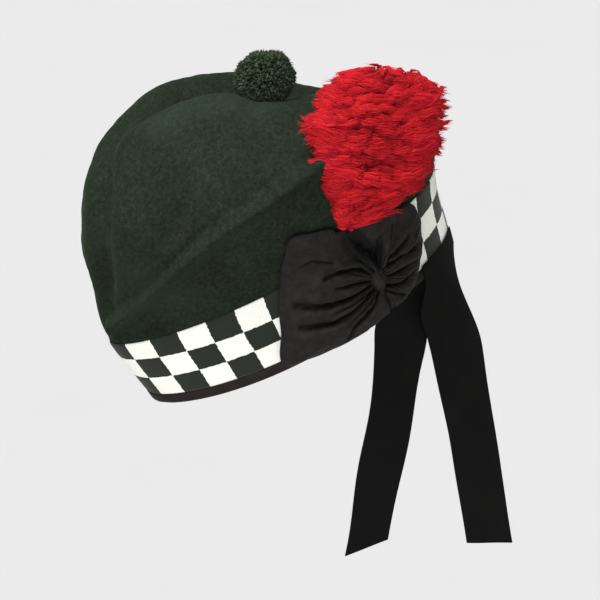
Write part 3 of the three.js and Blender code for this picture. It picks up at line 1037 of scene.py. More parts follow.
@dataclass
class DicedBand:
    """The band knitted in three rows of squares, two colours by turns."""

    wall: Wall
    columns: int = 32
    phase: float = 0.85
    bottom: float = 6.4
    rows: tuple[float, float] = (14.5, 15.5)
    per_column: int = 18
    per_row: int = 14
    puff: float = 0.3
    puffed: float = 0.35
    sunk: float = 0.25
    edge_sink: float = 0.35
    edge_width: float = 0.06
    edge_margin: float = 0.12

    def build(self) -> None:
        """Builds the band as a closed strip and dresses it."""
        across = self.columns * self.per_column
        count = 3 * self.per_row
        share = np.arange(across) / across
        fine = np.linspace(0, TURN, 1441)
        outer, inner, charts = [], [], []
        for row in np.linspace(0, 3, count + 1):
            run = run_along(self.wall.on(fine, self.height(fine, row), LAYER_GAP))
            t = np.interp(share * run[-1], run, fine)
            column = share * self.columns - self.phase
            bulge = self.pillow(column) * self.pillow(np.full_like(column, row))
            edge = sum(math.exp(-((away / self.edge_width) ** 2)) for away in (row, 3 - row))
            lift = LAYER_GAP + BAND_THICKNESS - self.sunk + self.puff * bulge - self.edge_sink * edge
            outer.append(self.wall.on(t, self.height(t, row), lift))
            inner.append(self.wall.on(t, self.height(t, row), LAYER_GAP))
            inside = min(max(row, self.edge_margin), 3 - self.edge_margin)
            places = [column + CHART_SHIFT[0], np.full_like(column, inside + CHART_SHIFT[1])]
            charts.append(np.stack(places, -1))
        points = np.concatenate([np.array(outer).reshape(-1, 3), np.array(inner).reshape(-1, 3)])
        size = (count + 1) * across
        last = size - across
        faces = np.concatenate(
            [
                grid_faces(count + 1, across, 0, True),
                grid_faces(count + 1, across, size, True)[:, ::-1],
                ring_strip(size, 0, across),
                ring_strip(last, last + size, across),
            ]
        )
        chart = np.concatenate([np.array(charts).reshape(-1, 2)] * 2)
        piece = make_piece("diced_band_knit", to_frame(points), faces, chart=chart)
        self.close_chart(piece)
        finish_piece(piece, DICING_FINISH.material(), "diced_band")

    def close_chart(self, piece: bpy.types.Object) -> None:
        """Carries the chart's columns past the join, where the last square runs into the first.

        Args:
            piece: The band.
        """
        mesh = piece.data
        flat = np.zeros(len(mesh.loops) * 2, np.float32)
        mesh.uv_layers["cloth"].data.foreach_get("uv", flat)
        corners = flat.reshape(-1, 4, 2)
        widest = corners[:, :, 0].max(1)
        wrapped = (widest - corners[:, :, 0].min(1)) > self.columns / 2
        lift = (corners[:, :, 0] < (widest - self.columns / 2)[:, None]) & wrapped[:, None]
        corners[:, :, 0] += lift * self.columns
        mesh.uv_layers["cloth"].data.foreach_set("uv", corners.ravel())

    def height(self, t: Array, row: float) -> Array:
        """Returns the height of the line between two rows.

        Args:
            t: Angles round the bonnet.
            row: The line, from 0 at the bottom edge to 3 at the top one.

        Returns:
            Millimetres of cloth up from the rim at each angle.
        """
        lows = [self.bottom, self.bottom + self.rows[0], self.bottom + sum(self.rows)]
        if row <= 2:
            return np.full_like(t, np.interp(row, [0, 1, 2], lows))
        return lows[2] + (row - 2) * (band_top(t) - lows[2])

    def pillow(self, x: Array) -> Array:
        """Rises from each square's edge to its middle."""
        return np.abs(np.sin(math.pi * x)) ** self.puffed


@dataclass
class Binding:
    """Woven tape folded over the rim and sewn through."""

    wall: Wall
    around: int = 720
    length: float = 570.0
    height: float = 6.0
    below: float = 1.5
    waver: float = 0.16
    stitch: float = 4.2
    stitch_height: float = 4.8
    stitch_width: float = 0.9
    dimple: float = 0.3

    def build(self) -> None:
        """Builds the folded tape and dresses it. Its profile's columns are height and offset."""
        outside = LAYER_GAP + 1.3
        inside = -FELT - LAYER_GAP
        profile = [
            (self.height, LAYER_GAP), (self.height, outside - 0.45), (self.height - 0.4, outside - 0.1),
            (4.8, outside - 0.06), (3.6, outside), (2.2, outside + 0.06), (0.8, outside),
            (-0.5, outside - 0.3), (-1.2, 0.7), (-self.below, -0.4), (-self.below, -1.6), (-1.2, -2.7),
            (-0.5, inside - 1.0), (0.8, inside - 1.3), (2.6, inside - 1.3), (4.6, inside - 1.25),
            (self.height - 0.4, inside - 1.1), (self.height, inside - 0.8), (self.height, inside),
            (2.6, inside), (-LAYER_GAP, inside), (-LAYER_GAP, -1.0), (-LAYER_GAP, LAYER_GAP),
            (3.0, LAYER_GAP),
        ]  # fmt: skip
        outer_turn = 8
        t = np.arange(self.around) / self.around * TURN
        run = t / TURN * self.length
        waver = self.waver * Ripples(8, 11)(np.stack([run, run * 0, run * 0], -1))
        pull = np.cos(TURN * run / self.stitch) ** 8
        rings, charts = [], []
        far = 0.0
        for k, (h, offset) in enumerate(profile):
            if k:
                far += math.dist(profile[k - 1], (h, offset))
            sewn = math.exp(-(((h - self.stitch_height) / self.stitch_width) ** 2)) * (offset > 1)
            h_here = h + waver * (k < outer_turn)
            rings.append(self.wall.on(t, h_here, offset - self.dimple * pull * sewn))
            charts.append(np.stack([np.full_like(t, far), run], -1))
        points = np.array(rings + rings[:1]).reshape(-1, 3)
        chart = np.array(charts + charts[:1]).reshape(-1, 2)
        faces = grid_faces(len(profile) + 1, self.around, 0, True)[:, ::-1]
        piece = make_piece("binding_tape", to_frame(points), faces, chart=chart, weld=0.01)
        finish_piece(piece, BINDING_FINISH.material(), "binding")


# ------------------------------------------------------------------------------ toorie


@dataclass
class Toorie:
    """The cut-pile wool ball in the crease: yarn ends packed side by side, each a little ragged."""

    centre: tuple[float, float, float] = (47, 25, 160.5)
    radius: float = 19.6
    squash: float = 0.88
    tufts: int = 1750
    yarn: float = 0.98
    uneven: float = 0.45
    untrimmed: float = 0.9
    hairs: int = 2
    yarn_sides: int = 4
    hair_sides: int = 3
    # How far directions wander: where a yarn end grows, how it bends and where its hairs grow.
    wander: float = 0.035
    bend: float = 0.10
    hair_wander: float = 0.07
    # Millimetres that a hair bends, and that clumps of yarn ends stand out or in.
    hair_bend: float = 0.35
    clump: float = 0.5
    # The shape and scale of how far hairs stand past the pile.
    past_pile: tuple[float, float] = (2.0, 0.17)
    yarn_widths: tuple[float, float] = (0.8, 1.15)
    hair_widths: tuple[float, float] = (0.7, 1.2)
    yarn_shades: tuple[float, float] = (0.15, 0.75)
    hair_shades: tuple[float, float] = (0.3, 0.95)
    seed: int = 11
    # A yarn end's rings, by share of its reach, share of its width and change of shade.
    # The change of shade is painted shade deep in the pile and painted light at the tip.
    yarn_rings: tuple[tuple[float, float, float], ...] = (
        (0.62, 0.55, -0.4), (0.86, 1.0, -0.15), (0.95, 0.9, 0.1), (1.0, 0.4, 0.25),
    )  # fmt: skip
    # A stray hair's rings, by share of its reach and half its width in millimetres. The hairs are
    # drawn coarser than wool's 0.03 mm, so that they show.
    hair_rings: tuple[tuple[float, float], ...] = ((0.8, 0.3), (0.93, 0.26), (1.0, 0.08))

    def build(self) -> None:
        """Builds the yarn ends and their stray hairs as one piece and dresses it."""
        rng = np.random.default_rng(self.seed)
        out, reach, stalks, stalk_faces, shade = self.yarn_ends(rng)
        hairs, hair_faces, hair_shade = self.stray_hairs(rng, out, reach)
        points = np.concatenate([stalks, hairs]) * (1, 1, self.squash) + np.array(self.centre)
        faces = np.concatenate([stalk_faces, hair_faces + len(stalks)])
        numbers = {"shade": np.concatenate([shade, hair_shade])}
        piece = make_piece("toorie_pile", to_frame(points), faces, numbers)
        finish_piece(piece, PILE_FINISH.material(), "toorie")

    def yarn_ends(self, rng: np.random.Generator) -> tuple[Array, Array, Array, Array, Array]:
        """Packs yarn ends evenly round the ball, from its middle out.

        Args:
            rng: The source of its unevenness.

        Returns:
            The ends' directions and reaches, and their points, faces and shades.
        """
        k = np.arange(self.tufts) + 0.5
        polar = np.arccos(1 - 2 * k / self.tufts)
        turn = math.pi * (1 + 5**0.5) * k
        out = np.stack([np.cos(turn) * np.sin(polar), np.sin(turn) * np.sin(polar), np.cos(polar)], -1)
        out = unit(out + rng.normal(0, self.wander, out.shape))
        reach = self.radius - self.untrimmed + rng.normal(0, self.uneven, self.tufts)
        reach = reach + self.clump * Ripples(5, 0.9)(out)
        bent = rng.normal(0, self.bend, out.shape)
        station, taper, tint = np.array(self.yarn_rings).T
        paths = unit(out[:, None] + bent[:, None] * (station**2)[None, :, None])
        paths = paths * (reach[:, None, None] * station[None, :, None])
        width = self.yarn * taper[None] * rng.uniform(*self.yarn_widths, (self.tufts, 1))
        across = unit(np.cross(out, rng.normal(size=out.shape)))
        points, faces = spun(paths, width, across, 1.0, self.yarn_sides)
        shade = np.repeat(rng.uniform(*self.yarn_shades, self.tufts), self.yarn_sides * len(station))
        # Painted shade deep in the pile and painted light at the yarn tips.
        shade = shade + np.tile(np.repeat(tint, self.yarn_sides), self.tufts)
        return out, reach, points, faces, shade

    def stray_hairs(self, rng: np.random.Generator, out: Array, reach: Array) -> tuple[Array, Array, Array]:
        """Adds fine hairs that stand past the yarn ends.

        Args:
            rng: The source of their unevenness.
            out: The yarn ends' directions.
            reach: Their reaches.

        Returns:
            The hairs' points, faces and shades.
        """
        owner = np.repeat(np.arange(self.tufts), self.hairs)
        total = len(owner)
        spread = unit(out[owner] + rng.normal(0, self.hair_wander, (total, 3)))
        ends = reach[owner] + rng.gamma(*self.past_pile, total)
        station, taper = np.array(self.hair_rings).T
        wisps = spread[:, None] * (ends[:, None, None] * station[None, :, None])
        wisps = wisps + rng.normal(0, self.hair_bend, wisps.shape) * station[None, :, None]
        thin = taper[None] * rng.uniform(*self.hair_widths, (total, 1))
        across = unit(np.cross(spread, rng.normal(size=spread.shape)))
        points, faces = spun(wisps, thin, across, 1.0, self.hair_sides)
        shade = np.repeat(rng.uniform(*self.hair_shades, total), self.hair_sides * len(station))
        return points, faces, shade


# ------------------------------------------------------------------------------ hackle


class Side(Enum):
    """The face of the hackle that a layer of barbs lies on."""

    OUTER = 1
    INNER = -1


@dataclass(frozen=True)
class Locks:
    """Where locks of barbs lie: height, place across, reach across, slope, wave and lift of each."""

    u: Array
    start: Array
    reach: Array
    slope: Array
    wave: Array
    lift: Array

    def picked(self, which: Array) -> "Locks":
        """Returns the locks with those numbers, in that order."""
        return Locks(*(values[which] for values in vars(self).values()))


@dataclass(frozen=True)
class Layer:
    """One layer of locks: its piece, its face, how many locks, and where it starts and ends."""

    name: str
    face: Side
    locks: int
    low: float
    high: float


@dataclass
class Hackle:
    """The feather hackle: barbs in locks that sweep out both ways from the middle of the plume.

    The barbs are drawn coarser than a feather's 0.1 mm, so that they show.
    """

    base: tuple[float, float, float] = (105.7, 22.7, 68.8)
    tip: tuple[float, float, float] = (106.8, 81.6, 162.4)
    rows: tuple[tuple[float, float, float, float], ...] = (
        (2, 8, 1, 6), (5, 10, 5, 9), (10, 13, 15, 12), (17, 17, 25, 16), (32, 26, 40, 21), (47, 33, 46, 24),
        (61, 38, 48, 25), (74, 37, 48, 23), (85, 32, 45, 19), (94, 20, 38, 13), (99, 4, 27, 7),
    )  # fmt: skip
    height: float = 99.0
    body: float = 1.4
    spread: float = 3.0
    barb: float = 0.3
    barbs: int = 20
    stations: int = 5
    lock_length: tuple[float, float] = (13, 24)
    lock_wave: float = 15.0
    lock_sway: float = 1.3
    edge: float = 0.98
    stray: float = 1.2
    down_share: tuple[float, float] = (0.86, 0.74)
    down_ripple: float = 1.2
    # Where locks start, up the plume and across it, and the parting that they turn away from.
    margins: tuple[float, float] = (2, 3)
    starts: float = 0.78
    parting: tuple[float, float] = (-0.05, 0.3)
    # How far locks run past the edge: in all, by tufts, and each by itself.
    edge_room: float = 1.02
    tuft_room: float = 0.05
    lock_room: tuple[float, float] = (-0.04, 0.06)
    # How locks slope up as they run out, more at the tip and less at the front of the foot.
    slope: float = 0.08
    slope_spread: float = 0.17
    tip_slope: float = 0.2
    tip_from: float = 0.72
    foot_slope: float = 0.45
    foot: tuple[float, float] = (4, 26)
    lift_spread: float = 0.09
    # The middle shade, how much it changes by patches and by locks, and its limits.
    tone: tuple[float, float, float] = (0.48, 0.16, 0.12)
    tone_range: tuple[float, float] = (0.05, 0.9)
    seed: int = 21
    # How thick a lock and a barb are, by share of the length and share of the full width.
    lock_taper: tuple[tuple[float, float], ...] = (
        (0, 0.4), (0.2, 0.9), (0.5, 1), (0.75, 0.75), (0.92, 0.35), (1, 0.05),
    )  # fmt: skip
    barb_taper: tuple[tuple[float, float], ...] = ((0, 0.7), (0.3, 1), (0.8, 0.7), (1, 0.1))
    # How the shade changes at each station from root to tip.
    # Darker roots are painted shade among the packed barbs, and lighter tips are painted light.
    root_to_tip: tuple[float, ...] = (-0.35, -0.1, 0.0, 0.06, 0.1)
    body_sides: int = 6
    barb_sides: int = 3
    # Where each layer starts and ends is a share of the plume's height.
    layers: tuple[Layer, ...] = (
        Layer("hackle_low_barbs", Side.OUTER, 300, 0.0, 0.6),
        Layer("hackle_high_barbs", Side.OUTER, 270, 0.5, 1.0),
        Layer("hackle_inner_barbs", Side.INNER, 190, 0.0, 1.0),
    )
    axes: tuple[Array, Array, Array] = field(init=False)

    def __post_init__(self) -> None:
        """Works out the plume's own axes: up its quill, outward and to the back."""
        up = unit(np.array(self.tip, float) - np.array(self.base, float))
        out = unit(np.array([1.0, 0, 0]) - up[0] * up)
        self.axes = (up, out, np.cross(up, out))

    def outline(self, u: Array) -> tuple[Array, Array, Array]:
        """Returns the reach to the front and back and half the thickness at heights u."""
        table = np.array(self.rows, float)
        return tuple(np.interp(u, table[:, 0], table[:, k]) * (0.5 if k == 3 else 1) for k in (1, 2, 3))

    def place(self, u: Array, across: Array, depth: Array) -> Array:
        """Returns points in the bonnet's axes.

        Args:
            u: Height up the quill, in millimetres.
            across: From -1 at the front edge to 1 at the back edge, and past it for stray tips.
            depth: Out from the middle, as a share of the half thickness.

        Returns:
            The points.
        """
        front, back, thick = self.outline(u)
        up, out, rear = self.axes
        middle, half = (back - front) / 2, (back + front) / 2
        y = middle + half * across
        rounded = np.sqrt(np.clip(1 - np.abs(across) ** 2.2, 0.0, 1))
        return (
            np.array(self.base, float)
            + u[..., None] * up
            + y[..., None] * rear
            + (depth * thick * rounded)[..., None] * out
        )

    def build(self) -> None:
        """Builds both layers of barbs and the dense down under them."""
        material = FEATHER_FINISH.material()
        self.down(material)
        for k, layer in enumerate(self.layers):
            self.barbed(layer, material, np.random.default_rng(self.seed + k))

    def down(self, material: bpy.types.Material) -> None:
        """Builds the dense middle of the plume, coloured dark as painted shade where it shows between the
        locks.

        Args:
            material: Its finish.
        """
        levels, sides = 60, 72
        u = np.linspace(3, self.height - 2, levels)
        uu, tt = np.meshgrid(u, np.arange(sides) / sides * TURN, indexing="ij")
        front, back, thick = self.outline(uu)
        up, out, rear = self.axes
        y = (back - front) / 2 + (back + front) / 2 * self.down_share[0] * np.cos(tt)
        z = thick * self.down_share[1] * np.sin(tt)
        points = np.array(self.base, float) + uu[..., None] * up + y[..., None] * rear + z[..., None] * out
        points = points + self.down_ripple * Ripples(6, 9)(points)[..., None] * out
        flat = np.concatenate([points.reshape(-1, 3), [points[0].mean(0), points[-1].mean(0)]])
        # Painted shade: the down is coloured near the deep end, to darken the gaps between the locks.
        numbers = {"shade": 0.12 + 0.1 * Ripples(7, 5)(flat)}
        piece = make_piece("hackle_down", to_frame(flat), closed_tube(levels, sides)[:, ::-1], numbers)
        finish_piece(piece, material, "hackle")

    def scatter(self, layer: Layer, rng: np.random.Generator) -> tuple[Locks, Array]:
        """Lays a layer's locks out over its stretch of the plume, swept away from the plume's middle.

        Args:
            layer: The layer.
            rng: The source of their unevenness.

        Returns:
            The locks, and the shade of each.
        """
        count = layer.locks
        spread = (np.arange(count) + rng.uniform(0, 1, count)) / count
        stretch = layer.low + (layer.high - layer.low) * spread
        u = self.margins[0] + (self.height - sum(self.margins)) * stretch
        rng.shuffle(u)
        start = rng.uniform(-self.starts, self.starts, count)
        heading = np.where(start + rng.normal(0, self.parting[1], count) > self.parting[0], 1.0, -1.0)
        front, back, _ = self.outline(u)
        half = (front + back) / 2
        reach = rng.uniform(*self.lock_length, count) / np.maximum(half, 10)
        tuft = Ripples(10, 10)(np.stack([u, heading * 40, u * 0], -1))
        room = self.edge_room + self.tuft_room * tuft + rng.uniform(*self.lock_room, count) - np.abs(start)
        reach = np.minimum(reach, np.where(heading * start > -0.1, room, reach))
        slope = self.slope * heading + rng.normal(0, self.slope_spread, count)
        slope = slope + self.tip_slope * smooth(u, self.tip_from * self.height, self.height)
        slope = slope - self.foot_slope * (1 - smooth(u, *self.foot)) * (heading < 0)
        wave = rng.uniform(0, TURN, count)
        lift = rng.normal(0, self.lift_spread, count)
        patch = Ripples(9, 1.0)(np.stack([u / 11, start * half / 24, u * 0], -1))
        middle, by_patch, by_lock = self.tone
        tone = np.clip(middle + by_patch * patch + rng.normal(0, by_lock, count), *self.tone_range)
        return Locks(u, start, heading * reach, slope, wave, lift), tone

    def barbed(self, layer: Layer, material: bpy.types.Material, rng: np.random.Generator) -> None:
        """Builds one layer's locks of barbs: a soft body to each lock, in painted shade, and fine barbs
        round it.

        Args:
            layer: The layer.
            material: Its finish.
            rng: The source of its unevenness.
        """
        locks, tone = self.scatter(layer, rng)
        count = layer.locks
        up = self.axes[0]
        s = np.linspace(0, 1, self.stations)[None]
        core = self.along(locks, s, layer.face, np.zeros((count, 1)), np.zeros((count, 1)))
        wide = self.body * np.interp(s, *np.array(self.lock_taper).T)
        wide = wide * rng.uniform(0.7, 1.25, (count, 1))
        points, faces = spun(core, wide, np.tile(up, (count, 1)), 0.62, self.body_sides)
        fall = np.array(self.root_to_tip)
        # Painted shade: each lock's body is darker than its barbs, and darker still at its root.
        shade = np.repeat((tone[:, None] - 0.12 + fall).reshape(-1), self.body_sides)
        owner = np.repeat(np.arange(count), self.barbs)
        total = len(owner)
        turn = rng.uniform(0, TURN, (total, 1))
        away = self.spread * np.sqrt(rng.uniform(0.1, 1, (total, 1)))
        away = away * (1 - 0.7 * s**2 + 0.22 * rng.normal(0, 1, (total, 1)) * s**2)
        span = s * rng.uniform(0.85, 1.12, (total, 1))
        aside, out = away * np.cos(turn), 0.6 * np.abs(np.sin(turn)) * away
        barbs = self.along(locks.picked(owner), span, layer.face, aside, out)
        thin = self.barb * np.interp(s, *np.array(self.barb_taper).T)
        thin = thin * rng.uniform(0.6, 1.2, (total, 1))
        more, more_faces = spun(barbs, thin, np.tile(up, (total, 1)), 0.6, self.barb_sides)
        # Barbs follow their lock's shade, with part of the painted shade at the roots and painted light at
        # the tips.
        fringe = tone[owner][:, None] + rng.normal(0.06, 0.07, (total, 1)) + 0.6 * fall
        numbers = {"shade": np.concatenate([shade, np.repeat(fringe.reshape(-1), self.barb_sides)])}
        faces = np.concatenate([faces, more_faces + len(points)])
        piece = make_piece(layer.name, to_frame(np.concatenate([points, more])), faces, numbers)
        finish_piece(piece, material, "hackle")

    def along(self, locks: Locks, s: Array, face: Side, aside: Array, out: Array) -> Array:
        """Returns paths that follow locks, each moved aside up the quill and out from the plume.

        Args:
            locks: The locks, one for each path.
            s: Shares of their lengths.
            face: Which face of the plume.
            aside: Millimetres up the quill from each lock's middle.
            out: Millimetres out from each lock's middle.

        Returns:
            Paths by stations by coordinates.
        """
        front, back, _ = self.outline(locks.u)
        half = (front + back)[:, None] / 2
        run = np.abs(locks.reach)[:, None] * s * half
        across = locks.start[:, None] + locks.reach[:, None] * s
        height = locks.u[:, None] + locks.slope[:, None] * run + aside
        sway = self.lock_sway * np.sin(locks.wave[:, None] + run * TURN / self.lock_wave)
        height = height + sway * np.minimum(1, 2 * s)
        swell = 0.74 + 0.24 * np.sin(math.pi * np.minimum(s, 1) ** 0.8) + locks.lift[:, None]
        inside = np.clip(across, -self.edge, self.edge)
        middle = self.place(np.clip(height, 1, self.height), inside, face.value * swell)
        past = np.sign(across) * np.maximum(np.abs(across) - self.edge, 0) * half
        over = np.clip(height - self.height, 0, self.stray)
        up, outward, rear = self.axes
        middle = middle + past[..., None] * rear + over[..., None] * up
        return middle + (face.value * out)[..., None] * outward


# ------------------------------------------------------------------------------ cockade


@dataclass(frozen=True)
class Pleat:
    """A sharp valley in gathered ribbon, through places given by direction in degrees and distance.

    It widens and fades away from the knot, and has a low shoulder on each side.
    """

    depth: float
    width: float
    through: tuple[tuple[float, float], ...]
    widens: tuple[float, float] = (0.62, 0.5)
    fades: float = 0.55
    sharpness: float = 1.15
    shoulder: float = 0.2
    shoulder_place: float = 2.8
    shoulder_width: float = 1.6

    def sink(self, a: Array, b: Array) -> Array:
        """Returns how far the pleat moves cloth out. Below 0 it sinks in.

        Args:
            a: Places to the back of the knot.
            b: Places up from it.

        Returns:
            Millimetres at each place.
        """
        direction, distance = np.array(self.through, float).T
        turn = np.radians(direction)
        line = np.stack([distance * np.cos(turn), distance * np.sin(turn)], -1)
        away, along = near_line(np.stack([a, b], -1), line)
        width = self.width * (self.widens[0] + self.widens[1] * along)
        fade = self.depth * (1 - self.fades * along**2)
        from_shoulder = (away - self.shoulder_place * width) / (self.shoulder_width * width)
        shoulder = self.shoulder * np.exp(-(from_shoulder**2))
        return fade * (shoulder - np.exp(-((away / width) ** self.sharpness)))


@dataclass(frozen=True)
class RibbonLoop:
    """One loop of the cockade: its cloth as cut, its reach by direction, its puff and its pleats."""

    node: str
    cut: tuple[float, float]
    puff: float
    reach: tuple[tuple[float, float], ...]
    pleats: tuple[Pleat, ...]
    seed: int
    lap: float = 3.0


COCKADE = (
    RibbonLoop(
        "cockade_front_loop",
        (105, 118),
        9,
        (
            (114, 53), (121.5, 63), (127.5, 72.5), (136.5, 66), (154, 58.5), (180, 61), (197.5, 73.5),
            (203.5, 63.5), (214, 49.5), (225, 40.5), (239, 33.3), (258, 29.2), (268, 28.7),
        ),
        (
            Pleat(7.0, 1.3, ((112, 6), (120, 14), (127, 24), (134, 32), (140, 38))),
            Pleat(9.0, 1.6, ((180, 6), (173, 18), (170, 31), (163, 50))),
            Pleat(8.0, 1.5, ((222, 6), (206, 14), (198, 24), (190, 36), (180, 51))),
            Pleat(6.5, 1.4, ((250, 7), (232, 16), (215, 30), (218, 39))),
            Pleat(4.0, 1.1, ((150, 6), (149, 16), (151, 29))),
            Pleat(3.5, 1.1, ((200, 8), (186, 19), (181, 31))),
            Pleat(3.0, 1.0, ((236, 8), (214, 18), (206, 30))),
            Pleat(2.5, 1.2, ((126, 40), (130, 52), (136, 58))),
        ),
        31,
    ),
    RibbonLoop(
        "cockade_top_loop",
        (40, 88),
        6,
        ((44, 41), (62, 41), (85, 41.5), (101, 43), (113, 52)),
        (
            Pleat(8.5, 4.4, ((82, 15), (91, 22), (101, 31), (104, 40))),
            Pleat(5.5, 2.0, ((72, 8), (72, 16), (76, 28))),
            Pleat(5.0, 1.3, ((58, 8), (55, 20), (58, 33))),
            Pleat(3.5, 1.2, ((100, 7), (106, 16), (112, 26))),
        ),
        32,
    ),
    RibbonLoop(
        "cockade_back_loop",
        (58, 80),
        8,
        (
            (-86, 27.5), (-70, 28.5), (-52, 31), (-38, 33), (-20, 33.5), (-3, 38.5), (10, 43), (20, 46.5),
            (32, 47), (41.5, 42),
        ),
        (
            Pleat(6.5, 1.3, ((40, 7), (17, 18), (8, 29))),
            Pleat(6.0, 1.3, ((-66, 8), (-42, 16), (-24, 25))),
            Pleat(5.0, 1.2, ((52, 7), (33, 17), (26, 30))),
            Pleat(4.5, 1.2, ((-20, 7), (-12, 16), (-8, 27))),
            Pleat(4.0, 1.2, ((-84, 8), (-68, 15), (-60, 23))),
        ),
        33,
    ),
)  # fmt: skip


@dataclass
class Cockade:
    """The gathered rosette of black taffeta ribbon: three pleated loops round a knot."""

    wall: Wall
    angle: float = 108.4
    height: float = 28.5
    start: float = 4.0
    mouth: float = 3.2
    radians_per_mm: float = 1 / 107
    stations: int = 150
    along: int = 44
    leaf: float = 0.45
    floor: float = 0.5
    least_open: float = 0.6
    turn_reach: float = 0.7
    # Millimetres of pleat depth over which the painted crease shade rises from none to full.
    creased: tuple[float, float] = (0.1, 1.3)
    chart_radius: float = 30.0
    # How much of a loop's puff is left at its two sides, and how the puff swells and falls.
    side_puff: float = 0.35
    swell: tuple[float, float] = (1.15, 0.62)
    # Heights beside lengths, in millimetres: the rise at the knot, and slow and quick waves.
    collar: tuple[float, float] = (2.4, 11)
    soft: tuple[float, float] = (0.55, 21)
    crumple: tuple[float, float] = (0.22, 8)
    # The gathers' heights in millimetres beside their spacing, and how far out they run.
    gathers: tuple[tuple[float, float], ...] = ((0.9, 0.9), (0.55, 0.36))
    gathers_reach: float = 24.0
    gathers_start: float = 5.0
    knot_half: tuple[float, float] = (5.4, 9.6)
    knot_puff: float = 12.6
    knot_wrap: float = 3.4
    knot_wrap_depth: float = 0.55
    knot_round: float = 2.6
    knot_waist: float = 0.86
    knot_ends: float = 0.1
    knot_fall: float = 0.1

    def lay(self, a: Array, b: Array, offset: Array) -> Array:
        """Returns points at places a to the back and b up from the knot, and offset off the wall."""
        t = math.radians(self.angle) + a * self.radians_per_mm
        return self.wall.on(t, self.height + b, offset)

    def build(self) -> None:
        """Builds the loops and the knot and dresses them."""
        material = TAFFETA_FINISH.material()
        for loop in COCKADE:
            self.loop(loop, material)
        self.knot(material)

    def loop(self, loop: RibbonLoop, material: bpy.types.Material) -> None:
        """Builds one loop: cloth that runs out from the knot, turns over at its end and runs back.

        Args:
            loop: The loop.
            material: Its finish.
        """
        table = np.array(loop.reach, float)
        share = np.linspace(0, 1, self.stations + 1)
        mark = np.linspace(0, 1, len(table))
        direction, far = (eased(np.stack([mark, table[:, k]], -1), share) for k in (0, 1))
        g = np.radians(direction + loop.lap * (2 * share - 1) ** 3)[:, None]
        far = far[:, None]
        q = np.linspace(0, 1, self.along + 1)[None]
        r = self.start + (far - self.start) * q
        lift, crease = self.raised(loop, share[:, None], g, q, r)
        floor = OVER_BAND + self.floor
        lift = np.maximum(lift, floor + self.least_open)
        top = self.lay(r * np.cos(g), r * np.sin(g), lift)
        turn = np.linspace(0, math.pi, 7)[1:-1][None]
        radius = (lift[:, -1:] - floor) / 2
        r_turn = far + radius * self.turn_reach * np.sin(turn)
        bend = self.lay(r_turn * np.cos(g), r_turn * np.sin(g), floor + radius * (1 + np.cos(turn)))
        r_back = self.start + (far - self.start) * np.linspace(1, 0, 16)[None]
        under = self.lay(r_back * np.cos(g), r_back * np.sin(g), floor + 0 * r_back)
        sheet = np.concatenate([top, bend, under], axis=1)
        rows, columns = sheet.shape[:2]
        steps = np.linalg.norm(np.diff(sheet, axis=1), axis=-1)
        along = np.concatenate([np.zeros((rows, 1)), np.cumsum(steps, 1)], 1)
        chart = np.stack([along, g * self.chart_radius * np.ones_like(along)], -1).reshape(-1, 2)
        plain = np.zeros((rows, columns - crease.shape[1]))
        # Painted shade for the creases, by how deep each place sinks.
        numbers = {"fold": np.concatenate([crease, plain], axis=1).reshape(-1)}
        faces = grid_faces(rows, columns)[:, ::-1]
        name = loop.node.replace("cockade", "ribbon")
        piece = make_piece(name, to_frame(sheet.reshape(-1, 3)), faces, numbers, chart)
        apply_modifier(piece, "SOLIDIFY", thickness=self.leaf * MM, offset=-1.0)
        finish_piece(piece, material, loop.node)

    def raised(self, loop: RibbonLoop, share: Array, g: Array, q: Array, r: Array) -> tuple[Array, Array]:
        """Works out how a loop's upper layer stands off the wall.

        Args:
            loop: The loop.
            share: Shares of its width.
            g: Directions from the knot.
            q: Shares of the reach from the knot.
            r: Distances from the knot.

        Returns:
            Millimetres off the wall, and how much painted shade each place gets in a crease, from 0 to 1.
        """
        a, b = r * np.cos(g), r * np.sin(g)
        from_knot = r - self.start
        ends = self.side_puff + (1 - self.side_puff) * (1 - np.abs(2 * share - 1) ** 5)
        body = np.sin(math.pi * q ** self.swell[0]) ** self.swell[1]
        lift = OVER_BAND + self.mouth * ends + loop.puff * body * ends
        lift = lift + self.collar[0] * np.exp(-from_knot / self.collar[1])
        around = np.stack([np.cos(g) * 4, np.sin(g) * 4, g * 0], -1)
        gathers = sum(
            height * Ripples(loop.seed + 10 * k, spacing)(around)
            for k, (height, spacing) in enumerate(self.gathers)
        )
        gathers = gathers * np.exp(-from_knot / self.gathers_reach)
        lift = lift + gathers * np.minimum(1, from_knot / self.gathers_start)
        soft = Ripples(loop.seed + 20, self.soft[1])(np.stack([a, b, a * 0], -1))
        crumple = Ripples(loop.seed + 40, self.crumple[1])(np.stack([a, b * 1.6, a * 0], -1))
        lift = lift + (self.soft[0] * soft + self.crumple[0] * crumple) * body
        crease = np.zeros_like(a)
        for pleat in loop.pleats:
            sink = pleat.sink(a, b)
            lift = lift + sink * np.minimum(1, body + 0.5)
            # Painted shade: the deeper the pleat, the darker.
            crease = np.maximum(crease, smooth(-sink, *self.creased))
        return lift, crease

